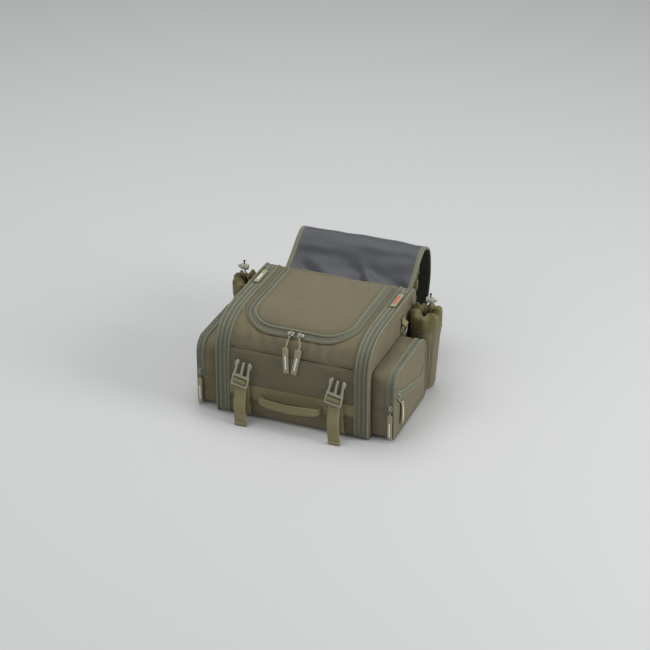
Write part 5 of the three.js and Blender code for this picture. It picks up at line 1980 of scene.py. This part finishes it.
class TAILBAG_OT_stage(bpy.types.Operator):
    """Set the camera, the floor and the studio light"""
    bl_idname = "tailbag.stage"
    bl_label = "Stage"

    def execute(self, context):
        scene = bpy.context.scene
        camera = bpy.data.objects.new("Camera", bpy.data.cameras.new("Camera"))
        scene.collection.objects.link(camera)
        camera.data.lens = CAMERA_LENS
        camera.data.sensor_width = 36
        a, e = math.radians(CAMERA_AZIMUTH), math.radians(CAMERA_ELEVATION)
        away = Vector((math.sin(a) * math.cos(e), -math.cos(a) * math.cos(e), math.sin(e)))
        camera.location = Vector(CAMERA_TARGET) + away * CAMERA_DISTANCE
        camera.rotation_euler = away.to_track_quat("Z", "Y").to_euler()
        scene.camera = camera
        floor = new_object("floor", [(-6, -6, 0), (6, -6, 0), (6, 8, 0), (-6, 8, 0)], [(0, 1, 2, 3)],
                           [self.floor_material()], smooth=False)
        world = bpy.data.worlds.new("studio")
        world.use_nodes = True
        world.node_tree.nodes["Background"].inputs["Color"].default_value = (0.93, 0.96, 1.0, 1)
        world.node_tree.nodes["Background"].inputs["Strength"].default_value = 0.38
        scene.world = world
        scene.view_settings.view_transform = "Standard"
        self.light("key", (3.1, 0.0, 1.5), 1.5, 76)
        self.light("top", (-0.6, 0.5, 2.8), 2.4, 50)
        self.light("fill", (-1.6, -2.2, 1.6), 2.0, 15)
        return {"FINISHED"}

    def floor_material(self):
        material = bpy.data.materials.new("floor")
        material.use_nodes = True
        shader = material.node_tree.nodes["Principled BSDF"]
        shader.inputs["Base Color"].default_value = (0.57, 0.57, 0.565, 1)
        shader.inputs["Roughness"].default_value = 0.9
        shader.inputs["Specular IOR Level"].default_value = 0.1
        return material

    def light(self, name, place, size, power):
        lamp = bpy.data.lights.new(name, "AREA")
        lamp.size = size
        lamp.energy = power
        made = bpy.data.objects.new(name, lamp)
        bpy.context.scene.collection.objects.link(made)
        made.location = place
        made.rotation_euler = (Vector(place) - Vector((0, 0, 0.1))).to_track_quat("Z", "Y").to_euler()


OPERATORS = (
    TAILBAG_OT_stage, TAILBAG_OT_centre_shell, TAILBAG_OT_expander_zippers, TAILBAG_OT_gussets,
    TAILBAG_OT_side_panels,
    TAILBAG_OT_lid, TAILBAG_OT_sliders, TAILBAG_OT_pulls, TAILBAG_OT_straps, TAILBAG_OT_buckles,
    TAILBAG_OT_grab_handle,
    TAILBAG_OT_flap, TAILBAG_OT_side_pockets, TAILBAG_OT_bottle_holders, TAILBAG_OT_rings, TAILBAG_OT_base)


class TAILBAG_PT_panel(bpy.types.Panel):
    """Lists the tail bag's pieces in the sidebar"""
    bl_idname = "TAILBAG_PT_panel"
    bl_label = "Tail Bag"
    bl_space_type = "VIEW_3D"
    bl_region_type = "UI"
    bl_category = "Tail Bag"

    def draw(self, context):
        for settings in (context.scene.tail_bag_sizes, context.scene.tail_bag_colours):
            box = self.layout.box()
            for name in settings.__annotations__:
                box.prop(settings, name)
        for operator in OPERATORS:
            self.layout.operator(operator.bl_idname)


CLASSES = (TailBagSizes, TailBagColours, *OPERATORS, TAILBAG_PT_panel)


def register():
    for made in CLASSES:
        bpy.utils.register_class(made)
    bpy.types.Scene.tail_bag_sizes = PointerProperty(type=TailBagSizes)
    bpy.types.Scene.tail_bag_colours = PointerProperty(type=TailBagColours)


def unregister():
    del bpy.types.Scene.tail_bag_colours
    del bpy.types.Scene.tail_bag_sizes
    for made in reversed(CLASSES):
        bpy.utils.unregister_class(made)


def main():
    register()
    for operator in OPERATORS:
        group, name = operator.bl_idname.split(".")
        getattr(getattr(bpy.ops, group), name)()


if __name__ == "__main__":
    main()
